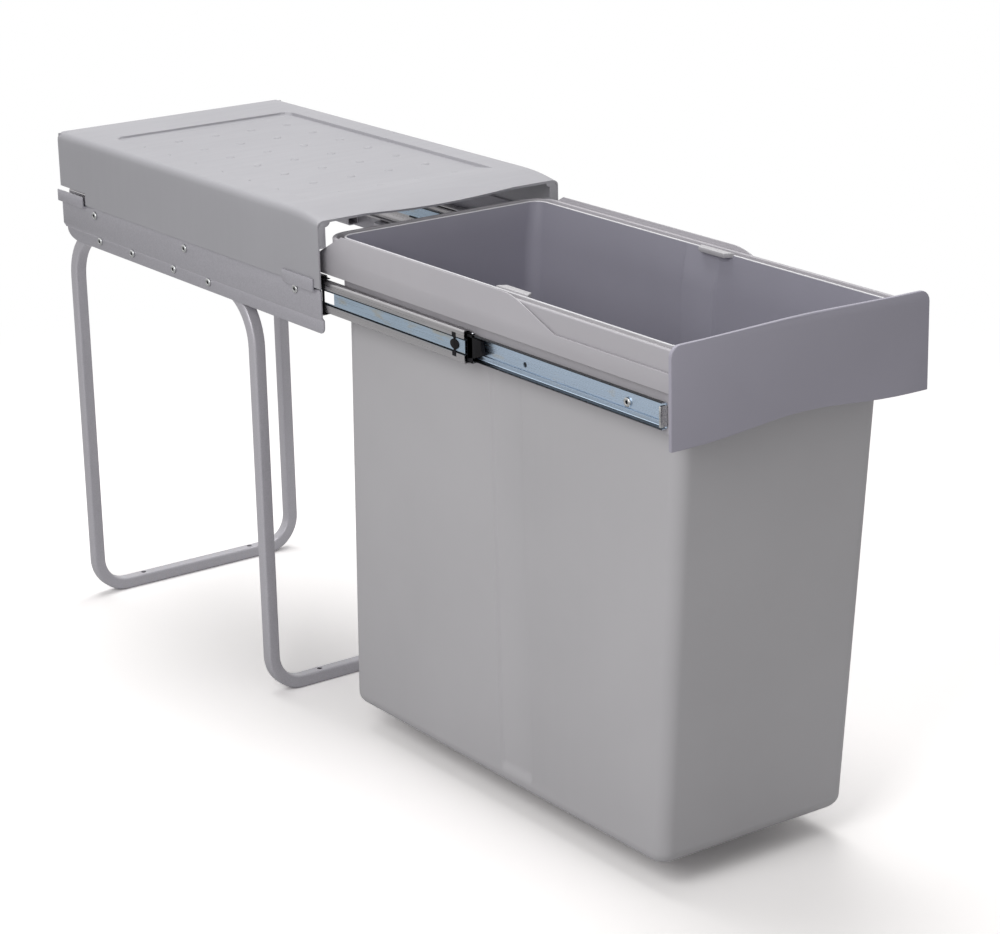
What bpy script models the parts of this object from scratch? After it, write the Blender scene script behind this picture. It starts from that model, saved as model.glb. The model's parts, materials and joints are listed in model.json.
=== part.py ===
"""Pull-out waste bin for a narrow kitchen base cabinet, modelled fully open.

X runs across the cabinet, Y runs back into it from the front edge of the cover,
and Z runs up from the cabinet floor. A grey cover and two folded steel brackets
stand on two bent tube hoops. Ball-bearing slides on the brackets carry a moulded
holder with a front panel, and the bucket hangs in the holder by its rim.
"""

import math

import bmesh
import bpy
from mathutils import Matrix, Vector

MM = 0.001

# Height of the slides' middle line over the floor. Names in OVER_LINE and UNDER_LINE are
# heights measured up or down from it.
SLIDE_MIDDLE_LINE = 404.5 * MM

# Gaps between pieces that touch, how far a cutter runs over the solid that it cuts,
# and how far a joined shape stays inside the face that it would otherwise share.
SEAT_GAP = 0.3 * MM
HOLE_GAP = 0.2 * MM
OVERRUN = 1.0 * MM
FLUSH_INSET = 0.1 * MM

# Cover
COVER_WIDTH = 252 * MM
COVER_LENGTH = 467 * MM
COVER_TOP_OVER_LINE = 71.5 * MM
COVER_WALL = 2.0 * MM
COVER_EDGE_RADIUS = 7 * MM
COVER_SIDE_BOTTOM_OVER_LINE = 8 * MM
COVER_REAR_NOTCH_TOP_OVER_LINE = 19.5 * MM
COVER_REAR_NOTCH_LENGTH = 49 * MM
COVER_FRONT_FALL = 5.0 * MM
COVER_FRONT_FALL_RUN = 46 * MM
COVER_FRONT_STATION_SHARES = (0, 0.08, 0.21, 0.38, 0.57, 0.78, 1)
COVER_SCOOP_FALL = 3.0 * MM
COVER_SCOOP_RUN = 22 * MM
COVER_SCOOP_HALF_WIDTH = 78 * MM
COVER_BLEND_HEIGHT = 16 * MM
COVER_FLANGE_DEPTH = 8 * MM
COVER_FLANGE_THICKNESS = 2.4 * MM
COVER_FLANGE_BOTTOM_OVER_LINE = 42.5 * MM
COVER_FLANGE_BEAD_RADIUS = 5 * MM
COVER_REAR_LIP_HEIGHT = 12 * MM
COVER_RECESS_DEPTH = 3.0 * MM
COVER_RECESS_HALF_WIDTH = 97 * MM
COVER_RECESS_FRONT = 58 * MM
COVER_RECESS_REAR_MARGIN = 61 * MM
COVER_RECESS_RADIUS = 12 * MM

# Telescopic slides. Heights are measured from the slide's middle line.
SLIDE_HEIGHT = 35.2 * MM
SLIDE_THICKNESS = 10.6 * MM
SLIDE_OUTER_SHEET = 1.0 * MM
SLIDE_MOVING_SHEET = 0.8 * MM
SLIDE_LENGTH = 450 * MM
SLIDE_OUTER_FRONT = 8 * MM
SLIDE_MIDDLE_FRONT = -203 * MM
SLIDE_MIDDLE_LENGTH = 430 * MM
SLIDE_INNER_FRONT = -449 * MM
SLIDE_INNER_LENGTH = 438 * MM
SLIDE_BEND_RADIUS = 1.3 * MM
SLIDE_LIP_INSET = 1.9 * MM
SLIDE_WEB_INSET = 3.1 * MM
SLIDE_WEB_HALF_HEIGHT = 7.2 * MM
SLIDE_WEB_FLARE = 1.6 * MM
SLIDE_WINDOW_LENGTH = 70 * MM
SLIDE_WINDOW_HEIGHT = 10 * MM
SLIDE_WINDOW_FRONT = -11 * MM
SLIDE_END_TAB_HEIGHT = 13 * MM
SLIDE_END_TAB_REACH = 5.5 * MM
SLIDE_SPARE_HOLE_PLACE = -274 * MM
SLIDE_SPARE_HOLE_RADIUS = 2.2 * MM
BALL_RADIUS = 1.25 * MM
BALL_GAP = 0.12 * MM
BALL_ROW_DEPTH = 6.6 * MM
CAGE_THICKNESS = 0.6 * MM
CAGE_WEB = 0.4 * MM
CAGE_REACH = 1.3 * MM
CAGE_BAR = 3.5 * MM
CAGE_WEB_MARGIN = 0.25 * MM
OUTER_CAGE_FRONT = 2 * MM
OUTER_CAGE_LENGTH = 186 * MM
INNER_CAGE_FRONT = -221 * MM
INNER_CAGE_LENGTH = 160 * MM
INNER_CAGE_BLOCK_LENGTH = 17 * MM
INNER_CAGE_BLOCK_HEIGHT = 15 * MM
INNER_CAGE_BLOCK_DEPTH = 4.2 * MM
BALLS_IN_ROW = 5
BALL_MARGIN = 12 * MM
BUMPER_RADIUS = 4.2 * MM
BUMPER_THICKNESS = 1.0 * MM
BUMPER_ARM_WIDTH = 2.6 * MM
BUMPER_SETBACK = 14 * MM

# Steel brackets between the cover, the slides and the legs
BRACKET_SHEET = 1.6 * MM
BRACKET_FRONT = 3 * MM
BRACKET_TOP_OVER_LINE = 35.5 * MM
BRACKET_BOTTOM_UNDER_LINE = 33 * MM
BRACKET_STEP_TOP_UNDER_LINE = 18.1 * MM
BRACKET_STEP_HEIGHT = 3.0 * MM
BRACKET_CORNER_RADIUS = 6 * MM
BRACKET_FLANGE_REAR = 436 * MM
BRACKET_REAR_RISE = 22 * MM
BRACKET_REAR = 465 * MM
TAB_TOP_OVER_LINE = 15.5 * MM
TAB_BEND_BOTTOM_OVER_LINE = 3.9 * MM
TAB_BEND_HEIGHT = 3.4 * MM
TAB_FRONT_START = 9 * MM
TAB_FRONT_LENGTH = 49 * MM
TAB_REAR_LENGTH = 44 * MM

# Leg hoops of square tube
TUBE = 12 * MM
TUBE_WALL = 1.2 * MM
TUBE_CORNER = 2.2 * MM
LEG_TOP_BEND = 49 * MM
LEG_FOOT_BEND = 31 * MM
LEG_FRONT_PLACE = 129.6 * MM
LEG_REAR_PLACE = 465.6 * MM
LEG_RUN_LENGTH = 145 * MM
FOOT_HOLE_RADIUS = 2.6 * MM
FOOT_HOLE_INSET = 57 * MM

# Screws
SCREW_RADIUS = 2.0 * MM
SCREW_HEAD_RADIUS = 3.6 * MM
SCREW_HEAD_HEIGHT = 1.6 * MM
SCREW_HEAD_ROUND = 0.5 * MM
SCREW_SOCKET_RADIUS = 1.5 * MM
SCREW_SOCKET_DEPTH = 0.9 * MM
SLIDE_SCREW_PLACES = (43 * MM, 233 * MM, 404 * MM)
RUN_SCREW_NEAR_BEND = 17 * MM
RUN_SCREW_END_MARGIN = 16 * MM
INNER_SCREW_FRONT_PLACE = -403 * MM
INNER_SCREW_REAR_PLACE = -27 * MM

# Holder that rides on the slides
HOLDER_BAND_OVERHANG = 6.1 * MM
HOLDER_WALL = 2.0 * MM
HOLDER_REAR = 18 * MM
HOLDER_RIM_REAR = 11 * MM
HOLDER_BAND_BOTTOM_OVER_LINE = 19.1 * MM
HOLDER_BAND_TOP_OVER_LINE = 37.5 * MM
HOLDER_LEDGE_RISE = 1.0 * MM
HOLDER_RECESS = 1.8 * MM
HOLDER_RAIL_WIDTH = 5.2 * MM
HOLDER_RAIL_ROUND = 1.8 * MM
HOLDER_SHELF_WIDTH = 2.7 * MM
HOLDER_SHELF_TOP_OVER_LINE = 45.5 * MM
HOLDER_CORNER_RADIUS = 4 * MM
HOLDER_BOTTOM_UNDER_LINE = 14.5 * MM
HOLDER_SIDE_REAR = -15 * MM
WING_TOP_OVER_LINE = 55.5 * MM
WING_REAR_HEIGHT_OVER_LINE = 35.5 * MM
WING_CHAMFER_END = -21 * MM
WING_LEVEL_END = -252 * MM
WING_SWEEP_END = -330 * MM
WING_ROOT_OVER_LINE = 25.5 * MM
WING_THICKNESS = 1.6 * MM

# Front panel
PANEL_SIDE_OVERLAP = 0.4 * MM
PANEL_THICKNESS = 3.5 * MM
PANEL_FRONT = -471.6 * MM
PANEL_TOP_OVER_LINE = 61.5 * MM
PANEL_BOTTOM_UNDER_LINE = 20 * MM
PANEL_CROWN = 2.0 * MM
PANEL_ARCH = 6.8 * MM
PANEL_TOP_RADIUS = 9 * MM
PANEL_SWELL_POWER = 1.5
PANEL_EDGE_ROUND = 0.7 * MM

# Bucket
BUCKET_WALL = 2.0 * MM
BUCKET_BOTTOM = 24 * MM
BUCKET_SIDE_TAPER = 4.5 * MM
BUCKET_SHOULDER_STEP = 4.5 * MM
BUCKET_BOTTOM_FRONT = -419 * MM
BUCKET_TOP_FRONT = -452 * MM
BUCKET_REAR_LEAN = 18 * MM
BUCKET_SHOULDER_OVER_LINE = 19.5 * MM
BUCKET_SHOULDER_HEIGHT = 5 * MM
BUCKET_RIM_TOP_OVER_LINE = 51.5 * MM
BUCKET_LIP_THICKNESS = 2.0 * MM
BUCKET_LIP_REACH = 4.7 * MM
BUCKET_CORNER_RADIUS = 13 * MM
BUCKET_FOOT_RADIUS = 11 * MM
FOOT_SHARES = ((0, 0.6), (0.13, 0.25), (0.5, 0))
BUCKET_CHANNEL_CENTRE = -226 * MM
BUCKET_CHANNEL_WIDTH = 44 * MM
BUCKET_CHANNEL_DEPTH = 3.0 * MM
BUCKET_CHANNEL_FLANK = 4.5 * MM
BUCKET_CHANNEL_BOTTOM = 38 * MM
BUCKET_CHANNEL_FADE = 8 * MM
RIM_TAB_CENTRE = -247 * MM
RIM_TAB_LENGTH = 42 * MM
RIM_TAB_RISE = 1.5 * MM
RIM_TAB_THICKNESS = 4 * MM
RIM_TAB_REACH = 6.5 * MM
RIM_TAB_SLOPE = 5 * MM

# Facets
CORNER_STEPS = 5
BEND_STEPS = 6
ROUND_STEPS = 12
SCREW_STEPS = 8
BALL_SEGMENTS = 6
BALL_RINGS = 4
COVER_COLUMNS = 12
PANEL_COLUMNS = 16
SWEEP_STEPS = 10

# Worked out from the sizes above
COVER_TOP = SLIDE_MIDDLE_LINE + COVER_TOP_OVER_LINE
COVER_SIDE_BOTTOM = SLIDE_MIDDLE_LINE + COVER_SIDE_BOTTOM_OVER_LINE
COVER_REAR_NOTCH_TOP = SLIDE_MIDDLE_LINE + COVER_REAR_NOTCH_TOP_OVER_LINE
COVER_FLANGE_BOTTOM = SLIDE_MIDDLE_LINE + COVER_FLANGE_BOTTOM_OVER_LINE
BRACKET_TOP = SLIDE_MIDDLE_LINE + BRACKET_TOP_OVER_LINE
BRACKET_BOTTOM = SLIDE_MIDDLE_LINE - BRACKET_BOTTOM_UNDER_LINE
BRACKET_STEP_TOP = SLIDE_MIDDLE_LINE - BRACKET_STEP_TOP_UNDER_LINE
TAB_TOP = SLIDE_MIDDLE_LINE + TAB_TOP_OVER_LINE
TAB_BEND_BOTTOM = SLIDE_MIDDLE_LINE + TAB_BEND_BOTTOM_OVER_LINE
HOLDER_BAND_BOTTOM = SLIDE_MIDDLE_LINE + HOLDER_BAND_BOTTOM_OVER_LINE
HOLDER_BAND_TOP = SLIDE_MIDDLE_LINE + HOLDER_BAND_TOP_OVER_LINE
HOLDER_SHELF_TOP = SLIDE_MIDDLE_LINE + HOLDER_SHELF_TOP_OVER_LINE
HOLDER_BOTTOM = SLIDE_MIDDLE_LINE - HOLDER_BOTTOM_UNDER_LINE
WING_TOP = SLIDE_MIDDLE_LINE + WING_TOP_OVER_LINE
WING_REAR_HEIGHT = SLIDE_MIDDLE_LINE + WING_REAR_HEIGHT_OVER_LINE
WING_ROOT = SLIDE_MIDDLE_LINE + WING_ROOT_OVER_LINE
PANEL_TOP = SLIDE_MIDDLE_LINE + PANEL_TOP_OVER_LINE
PANEL_BOTTOM = SLIDE_MIDDLE_LINE - PANEL_BOTTOM_UNDER_LINE
BUCKET_SHOULDER = SLIDE_MIDDLE_LINE + BUCKET_SHOULDER_OVER_LINE
BUCKET_RIM_TOP = SLIDE_MIDDLE_LINE + BUCKET_RIM_TOP_OVER_LINE
COVER_HALF = COVER_WIDTH / 2
BRACKET_FACE = COVER_HALF - COVER_WALL - SEAT_GAP
SLIDE_BACK = BRACKET_FACE - BRACKET_SHEET - SEAT_GAP
HOLDER_SIDE_FACE = SLIDE_BACK - SLIDE_THICKNESS - SEAT_GAP
SLIDE_HALF = SLIDE_HEIGHT / 2
OUTER_BALL_ROW = SLIDE_HALF - SLIDE_OUTER_SHEET - BALL_GAP - BALL_RADIUS
RACE_STEP = BALL_RADIUS + BALL_GAP + SLIDE_MOVING_SHEET / 2
INNER_BALL_ROW = OUTER_BALL_ROW - 2 * RACE_STEP
RUN_TOP = SLIDE_MIDDLE_LINE - SLIDE_HALF - 3 * SEAT_GAP
RUN_LINE = RUN_TOP - TUBE / 2
RUN_SCREW_SPACING = LEG_RUN_LENGTH - LEG_TOP_BEND - RUN_SCREW_NEAR_BEND - RUN_SCREW_END_MARGIN
TUBE_FACE = BRACKET_FACE - BRACKET_SHEET - SLIDE_LIP_INSET - SEAT_GAP
FLANGE_FACE = TUBE_FACE + SEAT_GAP + BRACKET_SHEET
HOLDER_HALF = HOLDER_SIDE_FACE + HOLDER_BAND_OVERHANG
PANEL_WIDTH = COVER_WIDTH + 2 * PANEL_SIDE_OVERLAP
PANEL_BACK = PANEL_FRONT + PANEL_THICKNESS
HOLDER_FRONT = PANEL_BACK + SEAT_GAP
RAIL_INSET = HOLDER_RECESS + HOLDER_RAIL_WIDTH
MOUTH_INSET = RAIL_INSET + SEAT_GAP + BUCKET_LIP_REACH
BUCKET_MOUTH_WIDTH = 2 * (HOLDER_HALF - MOUTH_INSET)
BUCKET_TOP_WIDTH = BUCKET_MOUTH_WIDTH - 2 * BUCKET_SHOULDER_STEP
BUCKET_BOTTOM_WIDTH = BUCKET_TOP_WIDTH - 2 * BUCKET_SIDE_TAPER
BUCKET_MOUTH_FRONT = HOLDER_FRONT + MOUTH_INSET
BUCKET_MOUTH_REAR = HOLDER_RIM_REAR + HOLDER_RECESS - MOUTH_INSET
RIM_CORNER_RADIUS = BUCKET_CORNER_RADIUS + MOUTH_INSET - HOLDER_RECESS


def clear_scene():
    for old in list(bpy.data.objects):
        bpy.data.objects.remove(old, do_unlink=True)


def linear(value):
    return value / 12.92 if value <= 0.04045 else ((value + 0.055) / 1.055) ** 2.4


def material(name, srgb, roughness, metallic=0.0):
    made = bpy.data.materials.new(name)
    made.use_nodes = True
    shader = made.node_tree.nodes["Principled BSDF"]
    colour = [linear(part / 255) for part in srgb]
    shader.inputs["Base Color"].default_value = (*colour, 1.0)
    shader.inputs["Roughness"].default_value = roughness
    shader.inputs["Metallic"].default_value = metallic
    made.diffuse_color = (*colour, 1.0)
    return made


def object_from(name, mesh, finish=None, smooth_angle=None):
    """Links a bmesh as a named object, with its faces turned outwards."""
    bmesh.ops.recalc_face_normals(mesh, faces=mesh.faces[:])
    data = bpy.data.meshes.new(name)
    mesh.to_mesh(data)
    mesh.free()
    made = bpy.data.objects.new(name, data)
    bpy.context.scene.collection.objects.link(made)
    if finish:
        data.materials.append(finish)
    if smooth_angle is not None:
        data.shade_smooth()
        data.set_sharp_from_angle(angle=smooth_angle)
    return made


SMOOTH = math.radians(32)


def loft(name, rings, finish=None, ring_closed=True, joined_ends=False, smooth_angle=SMOOTH):
    """Skins equal rings of points. Open ends are capped, or the last ring meets the first."""
    mesh = bmesh.new()
    grid = [[mesh.verts.new(point) for point in ring] for ring in rings]
    pairs = list(zip(grid, grid[1:]))
    if joined_ends:
        pairs.append((grid[-1], grid[0]))
    count = len(rings[0])
    last = count if ring_closed else count - 1
    for low, high in pairs:
        for i in range(last):
            j = (i + 1) % count
            mesh.faces.new((low[i], low[j], high[j], high[i]))
    if ring_closed and not joined_ends:
        mesh.faces.new(grid[0])
        mesh.faces.new(grid[-1])
    return object_from(name, mesh, finish, smooth_angle)


def prism(name, outline, place, finish=None, smooth_angle=SMOOTH):
    """Extrudes a flat outline: place(point, end) gives the corner at end 0 or 1."""
    rings = [[place(point, end) for point in outline] for end in (0, 1)]
    return loft(name, rings, finish, smooth_angle=smooth_angle)


def along_x(low, high):
    return lambda point, end: Vector((high if end else low, point[0], point[1]))


def along_y(low, high):
    return lambda point, end: Vector((point[0], high if end else low, point[1]))


def along_z(low, high):
    return lambda point, end: Vector((point[0], point[1], high if end else low))


def box(name, low, high, finish=None):
    outline = [(low[0], low[1]), (high[0], low[1]), (high[0], high[1]), (low[0], high[1])]
    return prism(name, outline, along_z(low[2], high[2]), finish, smooth_angle=None)


def arc(centre, radius, start, end, steps):
    """Points on a circle from start to end, in degrees."""
    turns = [math.radians(start + (end - start) * i / steps) for i in range(steps + 1)]
    return [
        (centre[0] + radius * math.cos(turn), centre[1] + radius * math.sin(turn))
        for turn in turns
    ]


def rounded(corners, steps=CORNER_STEPS):
    """A closed outline whose corners (x, y, radius) are rounded off by arcs."""
    outline = []
    for i, (x, y, radius) in enumerate(corners):
        here = Vector((x, y))
        if not radius:
            outline.append((x, y))
            continue
        before = Vector(corners[i - 1][:2])
        after = Vector(corners[(i + 1) % len(corners)][:2])
        arriving = (before - here).normalized()
        leaving = (after - here).normalized()
        half = arriving.angle(leaving) / 2
        centre = here + (arriving + leaving).normalized() * (radius / math.sin(half))
        first = here + arriving * (radius / math.tan(half)) - centre
        last = here + leaving * (radius / math.tan(half)) - centre
        turn = first.angle_signed(last)
        for step in range(steps + 1):
            outline.append(tuple(centre + turned(first, -turn * step / steps)))
    return outline


def turned(vector, angle):
    return Matrix.Rotation(angle, 2) @ vector


def strip(centreline, thickness):
    """The outline of folded sheet that follows an open centreline."""
    sides = ([], [])
    points = [Vector(point) for point in centreline]
    for i, here in enumerate(points):
        before = (here - points[i - 1]).normalized() if i else None
        after = (points[i + 1] - here).normalized() if i + 1 < len(points) else None
        tangent = ((before or after) + (after or before)).normalized()
        normal = Vector((-tangent.y, tangent.x))
        stretch = 1 / max(normal.dot(Vector((-(after or before).y, (after or before).x))), 0.5)
        for side, sign in zip(sides, (1, -1)):
            side.append(tuple(here + normal * sign * stretch * thickness / 2))
    return sides[0] + sides[1][::-1]


def cylinder_x(name, radius, low, high, y, z, steps=ROUND_STEPS, finish=None):
    outline = arc((y, z), radius, 0, 360 - 360 / steps, steps - 1)
    return prism(name, outline, along_x(low, high), finish)


def cylinder_z(name, radius, low, high, x, y, steps=ROUND_STEPS):
    outline = arc((x, y), radius, 0, 360 - 360 / steps, steps - 1)
    return prism(name, outline, along_z(low, high))


def merged(name, pieces):
    """One helper mesh from several that don't touch."""
    mesh = bmesh.new()
    for piece in pieces:
        mesh.from_mesh(piece.data)
        bpy.data.objects.remove(piece, do_unlink=True)
    return object_from(name, mesh)


def combine(target, other, operation):
    """Adds an exact Boolean and hides its second solid."""
    modifier = target.modifiers.new(f"{operation.lower()} {other.name}", "BOOLEAN")
    modifier.operation = operation
    modifier.object = other
    modifier.solver = "EXACT"
    other.hide_render = True
    other.display_type = "WIRE"
    other.parent = target
    other.matrix_parent_inverse = target.matrix_world.inverted()
    return target


def soften(target, width, segments=2):
    modifier = target.modifiers.new("softened edges", "BEVEL")
    modifier.width = width
    modifier.segments = segments
    modifier.limit_method = "ANGLE"
    modifier.angle_limit = math.radians(50)
    modifier.harden_normals = False
    return target


def side_name(side):
    return "left" if side < 0 else "right"


def cover_fall(x, y):
    """How far the roof drops at its front: a slope, and a shallow scoop in the middle."""
    fall = 0.0
    if y < COVER_FRONT_FALL_RUN:
        fall += COVER_FRONT_FALL * (1 - y / COVER_FRONT_FALL_RUN) ** 2
    if y < COVER_SCOOP_RUN and abs(x) < COVER_SCOOP_HALF_WIDTH:
        across = math.cos(math.pi * x / (2 * COVER_SCOOP_HALF_WIDTH)) ** 2
        fall += COVER_SCOOP_FALL * across * (1 - y / COVER_SCOOP_RUN)
    return fall


def cover_section(y):
    radius = COVER_EDGE_RADIUS
    corner = arc((COVER_HALF - radius, COVER_TOP - radius), radius, 0, 90, CORNER_STEPS)
    flat = COVER_HALF - radius
    columns = COVER_COLUMNS
    roof = [(flat * (1 - 2 * i / columns), COVER_TOP) for i in range(1, columns)]
    half = [(COVER_HALF, COVER_SIDE_BOTTOM), (COVER_HALF, COVER_TOP - COVER_BLEND_HEIGHT)]
    right = half + corner
    path = right + roof + [(-x, z) for x, z in reversed(right)]
    ring = []
    for x, z in path:
        share = max(0.0, (z - COVER_TOP + COVER_BLEND_HEIGHT) / COVER_BLEND_HEIGHT)
        ring.append(Vector((x, y, z - share * cover_fall(x, y))))
    return ring


def make_cover(finish):
    stations = [COVER_FRONT_FALL_RUN * share for share in COVER_FRONT_STATION_SHARES]
    stations += [COVER_LENGTH / 2, COVER_LENGTH]
    cover = loft(
        "cover", [cover_section(y) for y in stations], finish, ring_closed=False
    )
    shell = cover.modifiers.new("wall", "SOLIDIFY")
    shell.thickness = COVER_WALL
    shell.offset = -1
    shell.use_even_offset = True

    lip_half = COVER_HALF - COVER_WALL / 2
    rear_lip = box(
        "cover_rear_lip",
        (-lip_half, COVER_LENGTH - COVER_WALL, COVER_TOP - COVER_REAR_LIP_HEIGHT),
        (lip_half, COVER_LENGTH - FLUSH_INSET, COVER_TOP - COVER_WALL / 2),
    )
    combine(cover, rear_lip, "UNION")
    for side in (-1, 1):
        combine(cover, cover_flange(side), "UNION")

    rear_notch = box(
        "cover_rear_notch",
        (-COVER_WIDTH, COVER_LENGTH - COVER_REAR_NOTCH_LENGTH, 0),
        (COVER_WIDTH, COVER_LENGTH + OVERRUN, COVER_REAR_NOTCH_TOP),
    )
    combine(cover, rear_notch, "DIFFERENCE")
    floor = COVER_TOP - COVER_RECESS_DEPTH
    underside = floor - COVER_WALL
    pan_top = COVER_TOP - COVER_WALL / 2
    pan = roof_recess("cover_recess_pan", COVER_WALL, underside, pan_top)
    combine(cover, pan, "UNION")
    recess = roof_recess("cover_roof_recess", 0, floor, COVER_TOP + OVERRUN)
    return combine(cover, recess, "DIFFERENCE")


def roof_recess(name, grow, low, high):
    """The shape of the roof's recess, grown outwards, between two heights."""
    half = COVER_RECESS_HALF_WIDTH + grow
    front = COVER_RECESS_FRONT - grow
    rear = COVER_LENGTH - COVER_RECESS_REAR_MARGIN + grow
    radius = COVER_RECESS_RADIUS + grow
    corners = [
        (-half, front, radius),
        (half, front, radius),
        (half, rear, radius),
        (-half, rear, radius),
    ]
    return prism(name, rounded(corners), along_z(low, high))


def cover_flange(side):
    """The inward flange at the front edge of a side wall, with a bead under the roof."""
    outer = COVER_HALF - COVER_WALL / 2
    inner = COVER_HALF - COVER_FLANGE_DEPTH
    top = COVER_TOP - COVER_FRONT_FALL - COVER_WALL / 2
    edge = COVER_EDGE_RADIUS
    corner = arc((outer - edge, top - edge), edge, 0, 90, CORNER_STEPS)
    bead = arc((inner, top), COVER_FLANGE_BEAD_RADIUS, 180, 270, CORNER_STEPS)
    outline = [(outer, COVER_FLANGE_BOTTOM)] + corner + bead
    outline.append((inner, COVER_FLANGE_BOTTOM))
    outline = [(side * x, z) for x, z in outline]
    rear = FLUSH_INSET + COVER_FLANGE_THICKNESS
    return prism(f"cover_flange_{side_name(side)}", outline, along_y(FLUSH_INSET, rear))


def bracket_outline():
    """The bracket seen from the side, as (y, z)."""
    corner = BRACKET_CORNER_RADIUS
    flange_bend = BRACKET_BOTTOM + BRACKET_REAR_RISE
    return rounded(
        [
            (BRACKET_FRONT, BRACKET_BOTTOM, corner),
            (BRACKET_FLANGE_REAR, BRACKET_BOTTOM, corner),
            (BRACKET_REAR, flange_bend, corner),
            (BRACKET_REAR, BRACKET_TOP, corner),
            (BRACKET_FRONT, BRACKET_TOP, corner),
        ]
    )


def make_bracket(side, finish):
    name = side_name(side)
    upper = BRACKET_FACE - BRACKET_SHEET / 2
    lower = FLANGE_FACE - BRACKET_SHEET / 2
    step_bottom = BRACKET_STEP_TOP - BRACKET_STEP_HEIGHT
    path = [
        (upper, BRACKET_TOP + OVERRUN),
        (upper, BRACKET_STEP_TOP),
        (lower, step_bottom),
        (lower, BRACKET_BOTTOM - OVERRUN),
    ]
    section = [(side * x, z) for x, z in strip(path, BRACKET_SHEET)]
    rear = BRACKET_REAR + OVERRUN
    bracket = prism(
        f"bracket_{name}", section, along_y(-OVERRUN, rear), finish, smooth_angle=None
    )
    edge = prism(
        f"bracket_edge_{name}", bracket_outline(), along_x(0, side * COVER_WIDTH)
    )
    combine(bracket, edge, "INTERSECT")

    tab_path = [
        (upper, TAB_BEND_BOTTOM),
        (upper, TAB_BEND_BOTTOM + OVERRUN),
        (COVER_HALF + SEAT_GAP + BRACKET_SHEET / 2, TAB_BEND_BOTTOM + TAB_BEND_HEIGHT),
        (COVER_HALF + SEAT_GAP + BRACKET_SHEET / 2, TAB_TOP),
    ]
    tab_section = [(side * x, z) for x, z in strip(tab_path, BRACKET_SHEET)]
    low, high = sorted((side * SLIDE_BACK, side * COVER_WIDTH))
    front = (TAB_FRONT_START, TAB_FRONT_START + TAB_FRONT_LENGTH)
    rear = (BRACKET_REAR - TAB_REAR_LENGTH, BRACKET_REAR)
    for where, (start, end) in (("front", front), ("rear", rear)):
        relief = box(
            f"bracket_{where}_relief_{name}",
            (low, start - OVERRUN, TAB_BEND_BOTTOM + OVERRUN),
            (high, end + OVERRUN, BRACKET_TOP + OVERRUN),
        )
        combine(bracket, relief, "DIFFERENCE")
        tab = prism(
            f"bracket_{where}_tab_{name}", tab_section, along_y(start, end), smooth_angle=None
        )
        combine(bracket, tab, "UNION")

    holes = [
        cylinder_x("hole", SCREW_RADIUS + HOLE_GAP, 0, side * COVER_WIDTH, y, SLIDE_MIDDLE_LINE)
        for y in SLIDE_SCREW_PLACES
    ]
    holes += [
        cylinder_x("hole", SCREW_RADIUS + HOLE_GAP, 0, side * COVER_WIDTH, y, RUN_LINE)
        for y in leg_screw_places()
    ]
    combine(bracket, merged(f"bracket_holes_{name}", holes), "DIFFERENCE")
    return bracket


def leg_screw_places():
    """Where the screws of the tube runs sit along Y, rear hoop first."""
    rear = LEG_REAR_PLACE - LEG_TOP_BEND - RUN_SCREW_NEAR_BEND
    front = LEG_FRONT_PLACE + LEG_TOP_BEND + RUN_SCREW_NEAR_BEND
    return (rear, rear - RUN_SCREW_SPACING, front, front + RUN_SCREW_SPACING)


def bend(corner, before, after, radius):
    """Points of a bend of this radius at a corner between two directions."""
    centre = corner - before * radius + after * radius
    points = []
    for i in range(BEND_STEPS + 1):
        turn = math.pi / 2 * i / BEND_STEPS
        points.append(centre - after * radius * math.cos(turn) + before * radius * math.sin(turn))
    return points


def hoop_path(place, run_direction):
    """Centre line of a hoop: along one bracket, down, across the floor and up again."""
    x = TUBE_FACE - TUBE / 2
    foot = TUBE / 2
    along = Vector((0, run_direction, 0))
    down = Vector((0, 0, -1))
    across = Vector((1, 0, 0))
    start = Vector((-x, place, RUN_LINE)) + along * LEG_RUN_LENGTH
    end = Vector((x, place, RUN_LINE)) + along * LEG_RUN_LENGTH
    path = [start]
    path += bend(Vector((-x, place, RUN_LINE)), -along, down, LEG_TOP_BEND)
    path += bend(Vector((-x, place, foot)), down, across, LEG_FOOT_BEND)
    path += bend(Vector((x, place, foot)), across, -down, LEG_FOOT_BEND)
    path += bend(Vector((x, place, RUN_LINE)), -down, along, LEG_TOP_BEND)
    path.append(end)
    return path


def tube_rings(path, half, corner, steps):
    """Rounded squares across the path, carried along it without twist."""
    signs = ((-1, -1), (1, -1), (1, 1), (-1, 1))
    square = rounded([(half * across, half * up, corner) for across, up in signs], steps)
    tangents = []
    for i in range(len(path)):
        before = path[i] - path[max(i - 1, 0)]
        after = path[min(i + 1, len(path) - 1)] - path[i]
        parts = [part.normalized() for part in (before, after) if part.length]
        tangents.append(sum(parts, Vector()).normalized())
    side = Vector((1, 0, 0))
    rings = []
    for i, (point, tangent) in enumerate(zip(path, tangents)):
        if i:
            side = tangents[i - 1].rotation_difference(tangent) @ side
        up = tangent.cross(side)
        rings.append([point + side * x + up * y for x, y in square])
    return rings


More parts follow.
